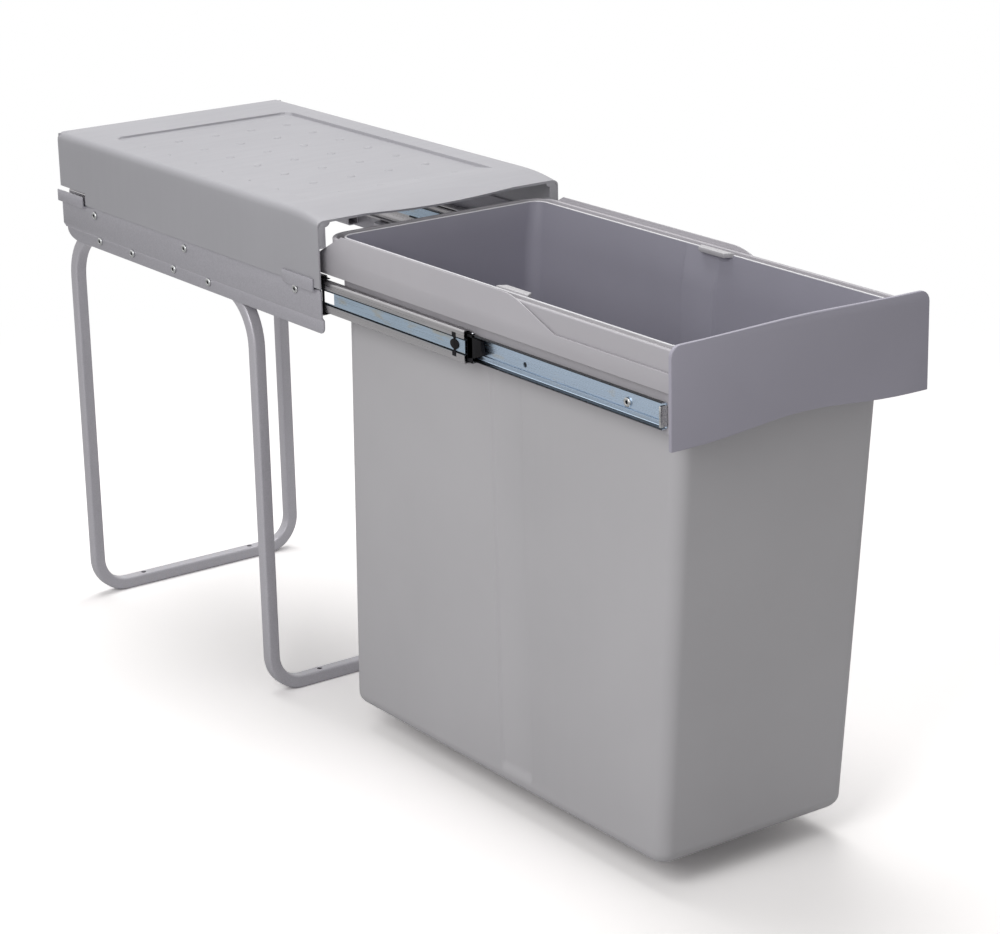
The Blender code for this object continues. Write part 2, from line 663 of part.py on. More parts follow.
def make_hoop(name, place, run_direction, finish):
    path = hoop_path(place, run_direction)
    outside = tube_rings(path, TUBE / 2, TUBE_CORNER, 2)
    inside = tube_rings(path, TUBE / 2 - TUBE_WALL, TUBE_CORNER - TUBE_WALL, 2)
    hoop = loft(name, outside + inside[::-1], finish, joined_ends=True)
    foot_x = TUBE_FACE - FOOT_HOLE_INSET
    holes = [
        cylinder_z("hole", FOOT_HOLE_RADIUS, -OVERRUN, TUBE + OVERRUN, x, place)
        for x in (-foot_x, foot_x)
    ]
    low = TUBE_FACE - TUBE / 2
    for side in (-1, 1):
        for y in leg_screw_places():
            if (y - place) * run_direction > 0 and abs(y - place) < LEG_RUN_LENGTH:
                radius = SCREW_RADIUS + HOLE_GAP
                ends = (side * low, side * COVER_WIDTH)
                holes.append(cylinder_x("hole", radius, *ends, y, RUN_LINE))
    return combine(hoop, merged(f"{name}_holes", holes), "DIFFERENCE")


def slide_section(half_path, thickness):
    """Sheet across a slide, as (depth from its back, height above its middle line)."""
    path = half_path + [(depth, -height) for depth, height in reversed(half_path)]
    return strip(path, thickness)


def outer_section():
    sheet = SLIDE_OUTER_SHEET
    radius = BALL_RADIUS + BALL_GAP + sheet / 2
    race = arc((BALL_ROW_DEPTH, OUTER_BALL_ROW), radius, 0, 90, CORNER_STEPS)
    top = SLIDE_HALF - sheet / 2
    fold = SLIDE_BEND_RADIUS
    heel = arc((sheet / 2 + fold, top - fold), fold, 90, 180, 3)
    return slide_section(race + heel, sheet)


def middle_section():
    sheet = SLIDE_MOVING_SHEET
    race = arc((BALL_ROW_DEPTH, INNER_BALL_ROW), RACE_STEP, 10, 90, CORNER_STEPS)
    top = INNER_BALL_ROW + RACE_STEP
    lip = SLIDE_LIP_INSET + sheet / 2
    heel = arc((lip + SLIDE_BEND_RADIUS, top - SLIDE_BEND_RADIUS), SLIDE_BEND_RADIUS, 90, 180, 3)
    web = SLIDE_WEB_INSET + sheet / 2
    flank = [(lip, SLIDE_WEB_HALF_HEIGHT + SLIDE_WEB_FLARE), (web, SLIDE_WEB_HALF_HEIGHT)]
    return slide_section(race + heel + flank, sheet)


def inner_section():
    sheet = SLIDE_MOVING_SHEET
    race = arc((BALL_ROW_DEPTH, INNER_BALL_ROW), RACE_STEP, 230, 270, 3)
    web = SLIDE_THICKNESS - sheet / 2
    bottom = INNER_BALL_ROW - RACE_STEP
    fold = SLIDE_BEND_RADIUS
    heel = arc((web - fold, bottom - fold), fold, 90, 0, 3)
    return slide_section(race + heel, sheet)


def slide_place(side, depth, height):
    return side * (SLIDE_BACK - depth), SLIDE_MIDDLE_LINE + height


def slide_member(name, side, section, front, length, finish):
    outline = [slide_place(side, depth, height) for depth, height in section]
    return prism(name, outline, along_y(front, front + length), finish, smooth_angle=SMOOTH)


def slide_box(name, side, depths, y_range, half_height):
    near, _ = slide_place(side, depths[0], 0)
    far, _ = slide_place(side, depths[1], 0)
    low, high = sorted((near, far))
    return box(
        name,
        (low, y_range[0], SLIDE_MIDDLE_LINE - half_height),
        (high, y_range[1], SLIDE_MIDDLE_LINE + half_height),
    )


def make_outer_member(side, finish):
    name = f"slide_outer_{side_name(side)}"
    member = slide_member(name, side, outer_section(), SLIDE_OUTER_FRONT, SLIDE_LENGTH, finish)
    ends = sorted((side * (SLIDE_BACK + OVERRUN), side * (SLIDE_BACK - SLIDE_WEB_INSET)))
    holes = [
        cylinder_x("hole", SCREW_RADIUS + HOLE_GAP, *ends, y, SLIDE_MIDDLE_LINE)
        for y in SLIDE_SCREW_PLACES
    ]
    return combine(member, merged(f"{name}_holes", holes), "DIFFERENCE")


def make_middle_member(side, finish):
    name = f"slide_middle_{side_name(side)}"
    section = middle_section()
    member = slide_member(name, side, section, SLIDE_MIDDLE_FRONT, SLIDE_MIDDLE_LENGTH, finish)
    window = slide_box(
        f"{name}_window",
        side,
        (0, BALL_ROW_DEPTH),
        (SLIDE_WINDOW_FRONT, SLIDE_WINDOW_FRONT + SLIDE_WINDOW_LENGTH),
        SLIDE_WINDOW_HEIGHT / 2,
    )
    return combine(member, window, "DIFFERENCE")


def make_inner_member(side, finish):
    name = f"slide_inner_{side_name(side)}"
    section = inner_section()
    member = slide_member(name, side, section, SLIDE_INNER_FRONT, SLIDE_INNER_LENGTH, finish)
    web = SLIDE_THICKNESS - SLIDE_MOVING_SHEET / 2
    tab = slide_box(
        f"{name}_tab",
        side,
        (web - SLIDE_END_TAB_REACH, web),
        (SLIDE_INNER_FRONT + FLUSH_INSET, SLIDE_INNER_FRONT + SLIDE_MOVING_SHEET),
        SLIDE_END_TAB_HEIGHT / 2,
    )
    combine(member, tab, "UNION")
    depths = (SLIDE_THICKNESS + OVERRUN, BALL_ROW_DEPTH)
    ends = sorted(slide_place(side, depth, 0)[0] for depth in depths)
    spare = SLIDE_SPARE_HOLE_RADIUS
    holes = [cylinder_x("hole", spare, *ends, SLIDE_SPARE_HOLE_PLACE, SLIDE_MIDDLE_LINE)]
    holes += [
        cylinder_x("hole", SCREW_RADIUS + HOLE_GAP, *ends, y, SLIDE_MIDDLE_LINE)
        for y in (INNER_SCREW_FRONT_PLACE, INNER_SCREW_REAR_PLACE)
    ]
    return combine(member, merged(f"{name}_holes", holes), "DIFFERENCE")


def ball(x, y, z):
    mesh = bmesh.new()
    bmesh.ops.create_uvsphere(
        mesh, u_segments=BALL_SEGMENTS, v_segments=BALL_RINGS, radius=BALL_RADIUS
    )
    bmesh.ops.translate(mesh, verts=mesh.verts[:], vec=(x, y, z))
    return object_from("ball", mesh)


def make_cage(name, side, row, web_depth, front, length, finish):
    """A C-shaped plastic strip that spaces two rows of balls, open between its end bars."""
    reach = BALL_ROW_DEPTH + CAGE_REACH
    height = row + CAGE_THICKNESS / 2
    inner = row - CAGE_THICKNESS / 2
    web_end = web_depth + CAGE_WEB
    outline = [
        (reach, height),
        (web_depth, height),
        (web_depth, -height),
        (reach, -height),
        (reach, -inner),
        (web_end, -inner),
        (web_end, inner),
        (reach, inner),
    ]
    cage = slide_member(name, side, outline, front, length, finish)
    opening = slide_box(
        f"{name}_opening",
        side,
        (web_depth - OVERRUN, web_end + OVERRUN),
        (front + CAGE_BAR, front + length - CAGE_BAR),
        inner - CAGE_THICKNESS,
    )
    combine(cage, opening, "DIFFERENCE")
    step = (length - 2 * BALL_MARGIN) / (BALLS_IN_ROW - 1)
    balls = []
    for sign in (-1, 1):
        x, z = slide_place(side, BALL_ROW_DEPTH, sign * row)
        balls += [ball(x, front + BALL_MARGIN + i * step, z) for i in range(BALLS_IN_ROW)]
    return combine(cage, merged(f"{name}_balls", balls), "UNION")


def make_outer_cage(side, finish):
    name = f"ball_cage_outer_{side_name(side)}"
    depth = SLIDE_OUTER_SHEET + CAGE_WEB_MARGIN
    return make_cage(
        name, side, OUTER_BALL_ROW, depth, OUTER_CAGE_FRONT, OUTER_CAGE_LENGTH, finish
    )


def make_inner_cage(side, finish):
    name = f"ball_cage_inner_{side_name(side)}"
    depth = SLIDE_WEB_INSET + SLIDE_MOVING_SHEET + CAGE_WEB_MARGIN
    cage = make_cage(
        name, side, INNER_BALL_ROW, depth, INNER_CAGE_FRONT, INNER_CAGE_LENGTH, finish
    )
    block = slide_box(
        f"{name}_block",
        side,
        (depth + FLUSH_INSET, depth + INNER_CAGE_BLOCK_DEPTH),
        (INNER_CAGE_FRONT + CAGE_WEB, INNER_CAGE_FRONT + INNER_CAGE_BLOCK_LENGTH),
        INNER_CAGE_BLOCK_HEIGHT / 2,
    )
    return combine(cage, block, "UNION")


def make_bumper(side, finish):
    """A round stop pressed into the middle member, with an arm up and an arm down."""
    name = f"slide_bumper_{side_name(side)}"
    y = SLIDE_MIDDLE_FRONT + BUMPER_SETBACK
    back = SLIDE_WEB_INSET - SEAT_GAP / 2
    ends = sorted(slide_place(side, depth, 0)[0] for depth in (back - BUMPER_THICKNESS, back))
    bumper = cylinder_x(name, BUMPER_RADIUS, *ends, y, SLIDE_MIDDLE_LINE, finish=finish)
    arm = slide_box(
        f"{name}_arms",
        side,
        (back - BUMPER_THICKNESS + FLUSH_INSET, back - FLUSH_INSET),
        (y - BUMPER_ARM_WIDTH / 2, y + BUMPER_ARM_WIDTH / 2),
        SLIDE_WEB_HALF_HEIGHT - SEAT_GAP,
    )
    return combine(bumper, arm, "UNION")


def make_screw(name, outside, direction, y, z, shank, finish):
    """A pan-head socket screw along X: its head sits outside, its shank runs along direction."""
    steps = SCREW_STEPS
    round_off = SCREW_HEAD_ROUND
    seat = SEAT_GAP / 2
    profile = [
        (SCREW_SOCKET_RADIUS, SCREW_HEAD_HEIGHT - SCREW_SOCKET_DEPTH),
        (SCREW_SOCKET_RADIUS, SCREW_HEAD_HEIGHT),
        (SCREW_HEAD_RADIUS - round_off, SCREW_HEAD_HEIGHT),
        (SCREW_HEAD_RADIUS, SCREW_HEAD_HEIGHT - round_off),
        (SCREW_HEAD_RADIUS, seat),
        (SCREW_RADIUS, seat),
        (SCREW_RADIUS, -shank),
    ]
    rings = []
    for radius, height in profile:
        x = outside - direction * height
        circle = arc((y, z), radius, 0, 360 - 360 / steps, steps - 1)
        rings.append([Vector((x, *point)) for point in circle])
    return loft(name, rings, finish)


def make_slide_screws(side, finish):
    shank = BRACKET_SHEET + SEAT_GAP + SLIDE_OUTER_SHEET
    for number, y in enumerate(SLIDE_SCREW_PLACES, 1):
        make_screw(
            f"slide_screw_{side_name(side)}_{number}",
            side * BRACKET_FACE,
            -side,
            y,
            SLIDE_MIDDLE_LINE,
            shank,
            finish,
        )


def make_leg_screws(side, finish):
    shank = BRACKET_SHEET + SEAT_GAP + TUBE_WALL + TUBE_CORNER
    for number, y in enumerate(leg_screw_places(), 1):
        name = f"leg_screw_{side_name(side)}_{number}"
        make_screw(name, side * FLANGE_FACE, -side, y, RUN_LINE, shank, finish)


def make_holder_screws(side, finish):
    seat = SLIDE_BACK - SLIDE_THICKNESS + SLIDE_MOVING_SHEET
    shank = SLIDE_MOVING_SHEET + SEAT_GAP + HOLDER_WALL
    places = (INNER_SCREW_FRONT_PLACE, INNER_SCREW_REAR_PLACE)
    for number, y in enumerate(places, 1):
        name = f"holder_screw_{side_name(side)}_{number}"
        make_screw(name, side * seat, -side, y, SLIDE_MIDDLE_LINE, shank, finish)


def rounded_ring(half, front, rear, front_radius, rear_radius, z):
    corners = [
        (-half, front, front_radius),
        (half, front, front_radius),
        (half, rear, rear_radius),
        (-half, rear, rear_radius),
    ]
    return [Vector((x, y, z)) for x, y in rounded(corners)]


def holder_ring(inset, z):
    """A ring of the holder's outer band, set in by inset."""
    radius = max(HOLDER_CORNER_RADIUS - inset, HOLDER_WALL / 2)
    half = HOLDER_HALF - inset
    return rounded_ring(half, HOLDER_FRONT + inset, HOLDER_REAR - inset, radius, radius, z)


def rim_ring(inset, z):
    """A ring of the holder's rim, set in by inset from its outer face. It follows the
    bucket's round corners at the rear and meets the front panel squarely."""
    whole = HOLDER_RECESS + inset
    front_radius = max(HOLDER_CORNER_RADIUS - whole, HOLDER_WALL / 2)
    half = HOLDER_HALF - whole
    rear = HOLDER_RIM_REAR - inset
    rear_radius = RIM_CORNER_RADIUS - inset
    return rounded_ring(half, HOLDER_FRONT + whole, rear, front_radius, rear_radius, z)


def make_holder(finish):
    wall = HOLDER_WALL
    rail = HOLDER_RAIL_WIDTH
    shelf = rail + HOLDER_SHELF_WIDTH
    corner = HOLDER_RAIL_ROUND
    band = HOLDER_BAND_BOTTOM
    ledge = HOLDER_BAND_TOP + HOLDER_LEDGE_RISE
    rim_top = BUCKET_RIM_TOP
    flange_rim = HOLDER_HALF - HOLDER_SIDE_FACE + wall - HOLDER_RECESS
    rings = [
        holder_ring(0, band),
        holder_ring(0, HOLDER_BAND_TOP),
        rim_ring(0, ledge),
        rim_ring(0, rim_top - corner),
        rim_ring(corner, rim_top),
        rim_ring(rail - corner, rim_top),
        rim_ring(rail, rim_top - corner),
        rim_ring(rail, HOLDER_SHELF_TOP),
        rim_ring(shelf, HOLDER_SHELF_TOP),
        rim_ring(shelf, HOLDER_SHELF_TOP - wall),
        rim_ring(wall, HOLDER_SHELF_TOP - wall),
        rim_ring(wall, ledge - wall),
        holder_ring(wall, HOLDER_BAND_TOP - wall),
        holder_ring(wall, band + wall),
        rim_ring(flange_rim, band + wall),
        rim_ring(flange_rim, band),
    ]
    holder = loft("holder", rings, finish, joined_ends=True)
    front_wall = box(
        "holder_front_wall",
        (-HOLDER_HALF + wall, HOLDER_FRONT + FLUSH_INSET, HOLDER_BOTTOM),
        (HOLDER_HALF - wall, HOLDER_FRONT + wall, band + wall / 2),
    )
    combine(holder, front_wall, "UNION")
    for hand in (-1, 1):
        combine(holder, holder_side(hand), "UNION")
        combine(holder, holder_wing(hand), "UNION")
    holes = [
        cylinder_x("hole", SCREW_RADIUS + HOLE_GAP, -COVER_WIDTH, COVER_WIDTH, y, SLIDE_MIDDLE_LINE)
        for y in (INNER_SCREW_FRONT_PLACE, INNER_SCREW_REAR_PLACE)
    ]
    return combine(holder, merged("holder_holes", holes), "DIFFERENCE")


def holder_side(side):
    """The wall that the inner slide member is screwed to."""
    face = side * HOLDER_SIDE_FACE
    back = side * (HOLDER_SIDE_FACE - HOLDER_WALL + FLUSH_INSET)
    low, high = sorted((face, back))
    outline = rounded(
        [
            (HOLDER_FRONT + HOLDER_WALL / 2, HOLDER_BOTTOM, 0),
            (HOLDER_SIDE_REAR, HOLDER_BOTTOM, BRACKET_CORNER_RADIUS),
            (HOLDER_SIDE_REAR, HOLDER_BAND_BOTTOM + HOLDER_WALL / 2, 0),
            (HOLDER_FRONT + HOLDER_WALL / 2, HOLDER_BAND_BOTTOM + HOLDER_WALL / 2, 0),
        ]
    )
    return prism(f"holder_side_{side_name(side)}", outline, along_x(low, high), smooth_angle=None)


def holder_wing(side):
    """The raised outer wall beside the rear of the bucket, swept down to the band in front."""
    rear = HOLDER_REAR - HOLDER_CORNER_RADIUS
    sweep = []
    for i in range(SWEEP_STEPS + 1):
        share = i / SWEEP_STEPS
        y = WING_LEVEL_END + (WING_SWEEP_END - WING_LEVEL_END) * share
        drop = (WING_TOP - WING_ROOT) * (1 - math.cos(math.pi * share)) / 2
        sweep.append((y, WING_TOP - drop, 0))
    chamfer_slope = (WING_TOP - WING_REAR_HEIGHT) / (HOLDER_REAR - WING_CHAMFER_END)
    rear_top = WING_REAR_HEIGHT + chamfer_slope * (HOLDER_REAR - rear)
    corners = [(WING_SWEEP_END, WING_ROOT - OVERRUN, 0), (rear, WING_ROOT - OVERRUN, 0)]
    corners += [(rear, rear_top, 0), (WING_CHAMFER_END, WING_TOP, BRACKET_CORNER_RADIUS)]
    corners += sweep
    outer = HOLDER_HALF - FLUSH_INSET
    low, high = sorted((side * outer, side * (outer - WING_THICKNESS)))
    return prism(f"holder_wing_{side_name(side)}", rounded(corners, 4), along_x(low, high))


def swell(share):
    """A wave that is 0 and level at both ends of a width (-1 and 1) and 1 in its middle."""
    return ((1 + math.cos(math.pi * share)) / 2) ** PANEL_SWELL_POWER


def make_front_panel(finish):
    half = PANEL_WIDTH / 2
    columns = PANEL_COLUMNS
    bottom = []
    for i in range(columns + 1):
        x = half * (2 * i / columns - 1)
        bottom.append((x, PANEL_BOTTOM + PANEL_ARCH * swell(x / half), 0))
    top = [(half, PANEL_TOP - PANEL_CROWN, PANEL_TOP_RADIUS)]
    for i in range(2, columns - 1):
        x = half * (1 - 2 * i / columns)
        top.append((x, PANEL_TOP - PANEL_CROWN * (1 - swell(x / half)), 0))
    top.append((-half, PANEL_TOP - PANEL_CROWN, PANEL_TOP_RADIUS))
    panel = prism("front_panel", rounded(bottom + top), along_y(PANEL_FRONT, PANEL_BACK), finish)
    return soften(panel, PANEL_EDGE_ROUND)


def bucket_ring(width, front, rear, radius, z, channel=0.0, inset=0.0):
    """A bucket ring, whose long sides dip inwards by channel over the middle stretch."""
    half = width / 2 - inset
    front += inset
    rear -= inset
    radius = max(radius - inset, inset + BUCKET_WALL / 2)
    low = BUCKET_CHANNEL_CENTRE - BUCKET_CHANNEL_WIDTH / 2
    high = BUCKET_CHANNEL_CENTRE + BUCKET_CHANNEL_WIDTH / 2
    flank = BUCKET_CHANNEL_FLANK
    dip = half - channel
    corners = [
        (-half, front, radius),
        (half, front, radius),
        (half, low, 0),
        (dip, low + flank, 0),
        (dip, high - flank, 0),
        (half, high, 0),
        (half, rear, radius),
        (-half, rear, radius),
        (-half, high, 0),
        (-dip, high - flank, 0),
        (-dip, low + flank, 0),
        (-half, low, 0),
    ]
    return [Vector((x, y, z)) for x, y in rounded(corners)]


def wall_ring(z, inset, channel):
    """A ring of the wall at height z. Its front and sides taper in and its rear leans out."""
    share = (z - BUCKET_BOTTOM) / (BUCKET_SHOULDER - BUCKET_BOTTOM)
    width = BUCKET_BOTTOM_WIDTH + share * (BUCKET_TOP_WIDTH - BUCKET_BOTTOM_WIDTH)
    front = BUCKET_BOTTOM_FRONT + share * (BUCKET_TOP_FRONT - BUCKET_BOTTOM_FRONT)
    rear = BUCKET_MOUTH_REAR + (1 - share) * BUCKET_REAR_LEAN
    return bucket_ring(width, front, rear, BUCKET_CORNER_RADIUS, z, channel, inset)


def mouth_ring(z, stand_off):
    """A ring at the mouth, grown outwards by stand_off."""
    return bucket_ring(
        BUCKET_MOUTH_WIDTH + 2 * stand_off,
        BUCKET_MOUTH_FRONT - stand_off,
        BUCKET_MOUTH_REAR + stand_off,
        BUCKET_CORNER_RADIUS + stand_off,
        z,
    )


def make_bucket(finish):
    wall = BUCKET_WALL
    foot = BUCKET_FOOT_RADIUS
    channel_start = BUCKET_CHANNEL_BOTTOM
    channel_end = BUCKET_SHOULDER - BUCKET_CHANNEL_FADE
    depth = BUCKET_CHANNEL_DEPTH
    shoulder_top = BUCKET_SHOULDER + BUCKET_SHOULDER_HEIGHT
    lip_bottom = HOLDER_SHELF_TOP + SEAT_GAP
    lip_top = lip_bottom + BUCKET_LIP_THICKNESS
    lip = BUCKET_LIP_REACH
    edge = wall / 4
    outside = [
        *[wall_ring(BUCKET_BOTTOM + foot * rise, foot * inset, 0) for rise, inset in FOOT_SHARES],
        wall_ring(channel_start, 0, 0),
        wall_ring(channel_start + BUCKET_CHANNEL_FADE, 0, depth),
        wall_ring(channel_end - BUCKET_CHANNEL_FADE, 0, depth),
        wall_ring(channel_end, 0, 0),
        wall_ring(BUCKET_SHOULDER, 0, 0),
        mouth_ring(shoulder_top, 0),
        mouth_ring(lip_bottom, 0),
        mouth_ring(lip_bottom, lip),
        mouth_ring(lip_top, lip),
        mouth_ring(lip_top, 0),
        mouth_ring(BUCKET_RIM_TOP - edge, 0),
        mouth_ring(BUCKET_RIM_TOP, -edge),
    ]
    inside = [
        mouth_ring(BUCKET_RIM_TOP, edge - wall),
        mouth_ring(BUCKET_RIM_TOP - edge, -wall),
        mouth_ring(shoulder_top, -wall),
        wall_ring(BUCKET_SHOULDER, wall, 0),
        wall_ring(channel_end, wall, 0),
        wall_ring(channel_end - BUCKET_CHANNEL_FADE, wall, depth),
        wall_ring(channel_start + BUCKET_CHANNEL_FADE, wall, depth),
        wall_ring(channel_start, wall, 0),
        wall_ring(BUCKET_BOTTOM + wall + foot / 2, wall, 0),
        wall_ring(BUCKET_BOTTOM + wall, wall + foot / 2, 0),
    ]
    bucket = loft("bucket", outside + inside, finish)
    for side in (-1, 1):
        combine(bucket, rim_tab(side), "UNION")
    return bucket


def rim_tab(side):
    """The tab that reaches in from the rim of a long side, narrower at its free edge."""
    low = RIM_TAB_CENTRE - RIM_TAB_LENGTH / 2
    high = RIM_TAB_CENTRE + RIM_TAB_LENGTH / 2
    root = side * (BUCKET_MOUTH_WIDTH - BUCKET_WALL) / 2
    free = root - side * RIM_TAB_REACH
    outline = [
        (root, low),
        (root, high),
        (free, high - RIM_TAB_SLOPE),
        (free, low + RIM_TAB_SLOPE),
    ]
    top = BUCKET_RIM_TOP + RIM_TAB_RISE
    place = along_z(top - RIM_TAB_THICKNESS, top)
    return prism(f"bucket_rim_tab_{side_name(side)}", outline, place)


def joint_empty(name, location, children):
    """An empty on a joint's axis that carries the pieces moving with it."""
    empty = bpy.data.objects.new(name, None)
    empty.empty_display_size = BUCKET_CORNER_RADIUS
    empty.location = location
    bpy.context.scene.collection.objects.link(empty)
    bpy.context.view_layer.update()
    for child in children:
        child.parent = empty
        child.matrix_parent_inverse = empty.matrix_world.inverted()
    return empty


def main():
    clear_scene()
    cover_plastic = material("cover_plastic", (182, 182, 186), 0.52)
    holder_plastic = material("holder_plastic", (160, 159, 164), 0.5)
    panel_plastic = material("panel_plastic", (132, 130, 138), 0.5)
    bucket_plastic = material("bucket_plastic", (156, 156, 158), 0.5)
    frame_paint = material("frame_paint", (152, 150, 156), 0.42, 0.35)
    zinc = material("zinc_plated_steel", (176, 188, 198), 0.3, 1.0)
    screw_steel = material("screw_steel", (196, 196, 194), 0.28, 1.0)
    black_plastic = material("black_plastic", (24, 22, 26), 0.55)

    make_cover(cover_plastic)
    make_hoop("leg_hoop_front", LEG_FRONT_PLACE, 1, frame_paint)
    make_hoop("leg_hoop_rear", LEG_REAR_PLACE, -1, frame_paint)
    carriage = [make_holder(holder_plastic), make_front_panel(panel_plastic)]
    for side in (-1, 1):
        name = side_name(side)
        x, z = slide_place(side, BALL_ROW_DEPTH, 0)
        make_bracket(side, frame_paint)
        make_outer_member(side, zinc)
        make_slide_screws(side, screw_steel)
        make_leg_screws(side, screw_steel)
        middle = [make_middle_member(side, zinc), make_bumper(side, black_plastic)]
        joint_empty(f"middle_travel_{name}", (x, SLIDE_MIDDLE_FRONT, z), middle)
        outer_cage = [make_outer_cage(side, black_plastic)]
        joint_empty(f"outer_cage_travel_{name}", (x, OUTER_CAGE_FRONT, z), outer_cage)
        inner_cage = [make_inner_cage(side, black_plastic)]
        joint_empty(f"inner_cage_travel_{name}", (x, INNER_CAGE_FRONT, z), inner_cage)
        carriage.append(make_inner_member(side, zinc))
        make_holder_screws(side, screw_steel)
        carriage += [
            bpy.data.objects[f"holder_screw_{name}_{number}"] for number in (1, 2)
        ]
    carriage.append(make_bucket(bucket_plastic))
    joint_empty("pull_out_travel", (0, HOLDER_FRONT, SLIDE_MIDDLE_LINE), carriage)


main()
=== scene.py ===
"""Looks of the pull-out waste bin: finishes, fine shapes, floor, light and camera."""

import json
import math

import bmesh
import bpy
from mathutils import Matrix, Vector

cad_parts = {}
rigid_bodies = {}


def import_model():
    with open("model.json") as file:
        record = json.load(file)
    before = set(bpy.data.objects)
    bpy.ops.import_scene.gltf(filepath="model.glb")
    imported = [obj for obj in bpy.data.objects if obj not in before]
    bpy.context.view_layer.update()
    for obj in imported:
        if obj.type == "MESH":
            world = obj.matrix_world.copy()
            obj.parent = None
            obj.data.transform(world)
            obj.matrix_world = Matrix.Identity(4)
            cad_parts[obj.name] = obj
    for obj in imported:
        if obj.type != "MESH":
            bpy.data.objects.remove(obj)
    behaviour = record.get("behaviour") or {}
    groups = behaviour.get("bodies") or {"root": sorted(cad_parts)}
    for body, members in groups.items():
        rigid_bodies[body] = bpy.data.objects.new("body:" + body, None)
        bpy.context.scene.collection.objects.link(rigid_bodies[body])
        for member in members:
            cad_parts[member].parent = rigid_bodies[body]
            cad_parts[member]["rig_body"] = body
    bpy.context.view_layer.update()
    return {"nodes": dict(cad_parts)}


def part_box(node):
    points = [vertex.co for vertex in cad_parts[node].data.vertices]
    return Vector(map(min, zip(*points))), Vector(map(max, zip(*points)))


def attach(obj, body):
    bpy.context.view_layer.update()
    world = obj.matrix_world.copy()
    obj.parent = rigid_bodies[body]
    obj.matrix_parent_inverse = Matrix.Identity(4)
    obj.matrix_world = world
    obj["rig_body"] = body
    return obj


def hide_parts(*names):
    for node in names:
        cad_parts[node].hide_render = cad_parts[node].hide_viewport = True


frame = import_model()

MM = 0.001
SIDES = (-1, 1)

# Slides
SLIDE_LINE = 404.5 * MM
SLIDE_BACK = 121.8 * MM
BALL_DEPTH = 6.6 * MM
BALL_RADIUS = 1.28 * MM
BALLS_IN_ROW = 5
CAGES = (
    ("outer", 15.23 * MM, 2 * MM, 186 * MM),
    ("inner", 11.69 * MM, -221 * MM, 160 * MM),
)
BALL_MARGIN = 12 * MM
STOP_SETBACK = 14 * MM
STOP_RADIUS = 4.2 * MM
STOP_THICKNESS = 1.1 * MM
STOP_FOOT = 4.4 * MM
STOP_FOOT_HEIGHT = 9.9 * MM
STOP_NECK = 1.7 * MM
STOP_DEPTH = 3.0 * MM
STOP_ROUND = 0.4 * MM

INNER_ROW = 11.69 * MM
RACE_STEP = 1.77 * MM
LIP_DEPTH = 2.3 * MM
HEEL = 1.3 * MM
MOVING_SHEET = 0.8 * MM
MIDDLE_FOLDS = ((2.3, 6.9), (3.7, 6.3), (3.7, 5.8), (3.1, 5.2))
GROOVE_SHADE_BAND = (5.3 * MM, 6.75 * MM)
WINDOW = (-11 * MM, 59 * MM)
WINDOW_HALF = 5 * MM
INNER_WEB = 10.2 * MM
INNER_RIB = ((10.2, -4.6), (9.3, -5.1), (9.3, -5.5), (10.2, -6.0), (10.2, -6.6))
END_FACE = 0.5
HOLE_SHADE_OVERLAP = 0.3 * MM
HOLE_SHADE_THICKNESS = 0.2 * MM
SPARE_HOLE = (-274 * MM, 2.2 * MM)
END_TAB_FRONT = 3.6 * MM
END_TAB_THICKNESS = 2.4 * MM
END_TAB_HALF = 8.4 * MM
END_TAB_ROUND = 0.9 * MM
CAGE_DEPTHS = (4.15 * MM, 4.55 * MM, 7.9 * MM, 8.2 * MM)
CAGE_STRIP = 0.6 * MM
CAGE_BAR = 3.5 * MM
CAGE_FRONT = -211 * MM
BLOCK_OUTLINE = (
    (-204, -9.6), (-213, -7.2), (-221, -4.2), (-226, -2.4), (-223, 0.5), (-222, 8.5), (-204, 10)
)
STOP_PROUD = 0.1 * MM
STOP_STRETCH = 1.4
STOP_FOOT_LENGTH = 5.5 * MM

# Screws
BRACKET_FACE = 123.7 * MM
FLANGE_FACE = 121.8 * MM
INNER_SCREW_SEAT = 112.0 * MM
SLIDE_SCREW_PLACES = (43 * MM, 233 * MM, 404 * MM)
LEG_SCREW_PLACES = (399.6 * MM, 336.6 * MM, 195.6 * MM, 258.6 * MM)
HOLDER_SCREW_PLACES = (-403 * MM, -27 * MM)
SCREW_HEAD_RADIUS = 4.0 * MM
SCREW_HEAD_HEIGHT = 1.9 * MM
SCREW_HEAD_ROUND = 1.3 * MM
SCREW_SHANK_RADIUS = 2.0 * MM
SCREW_SHANK_LENGTH = 3.0 * MM
SOCKET_RADIUS = 1.7 * MM
SOCKET_DEPTH = 1.15 * MM
SCREW_EDGE = 0.3 * MM
SCREW_STEPS = 24

# Legs
RUN_LINE = 380 * MM
TUBE = 12 * MM
TUBE_WALL = 1.2 * MM
TUBE_CORNER = 2.2 * MM
TUBE_CENTRE = 113.9 * MM
TOP_BEND = 49 * MM
FOOT_BEND = 31 * MM
RUN_LENGTH = 145 * MM
FOOT_HOLE_PLACE = 62.9 * MM
FOOT_HOLE_RADIUS = 2.6 * MM
RUN_HOLE_RADIUS = 2.2 * MM
HOOPS = (("front", 129.6 * MM, 1), ("rear", 465.6 * MM, -1))

# Cover
STUD_COLUMNS = 5
STUD_ROWS = 7
STUD_PITCH = 40 * MM
STUD_ROW_PITCH = 47.7 * MM
STUD_MIDDLE = (-12 * MM, 219 * MM)
STUD_RADIUS = 4.0 * MM
STUD_RISE = 0.9 * MM
RECESS_DEPTH = 3.0 * MM

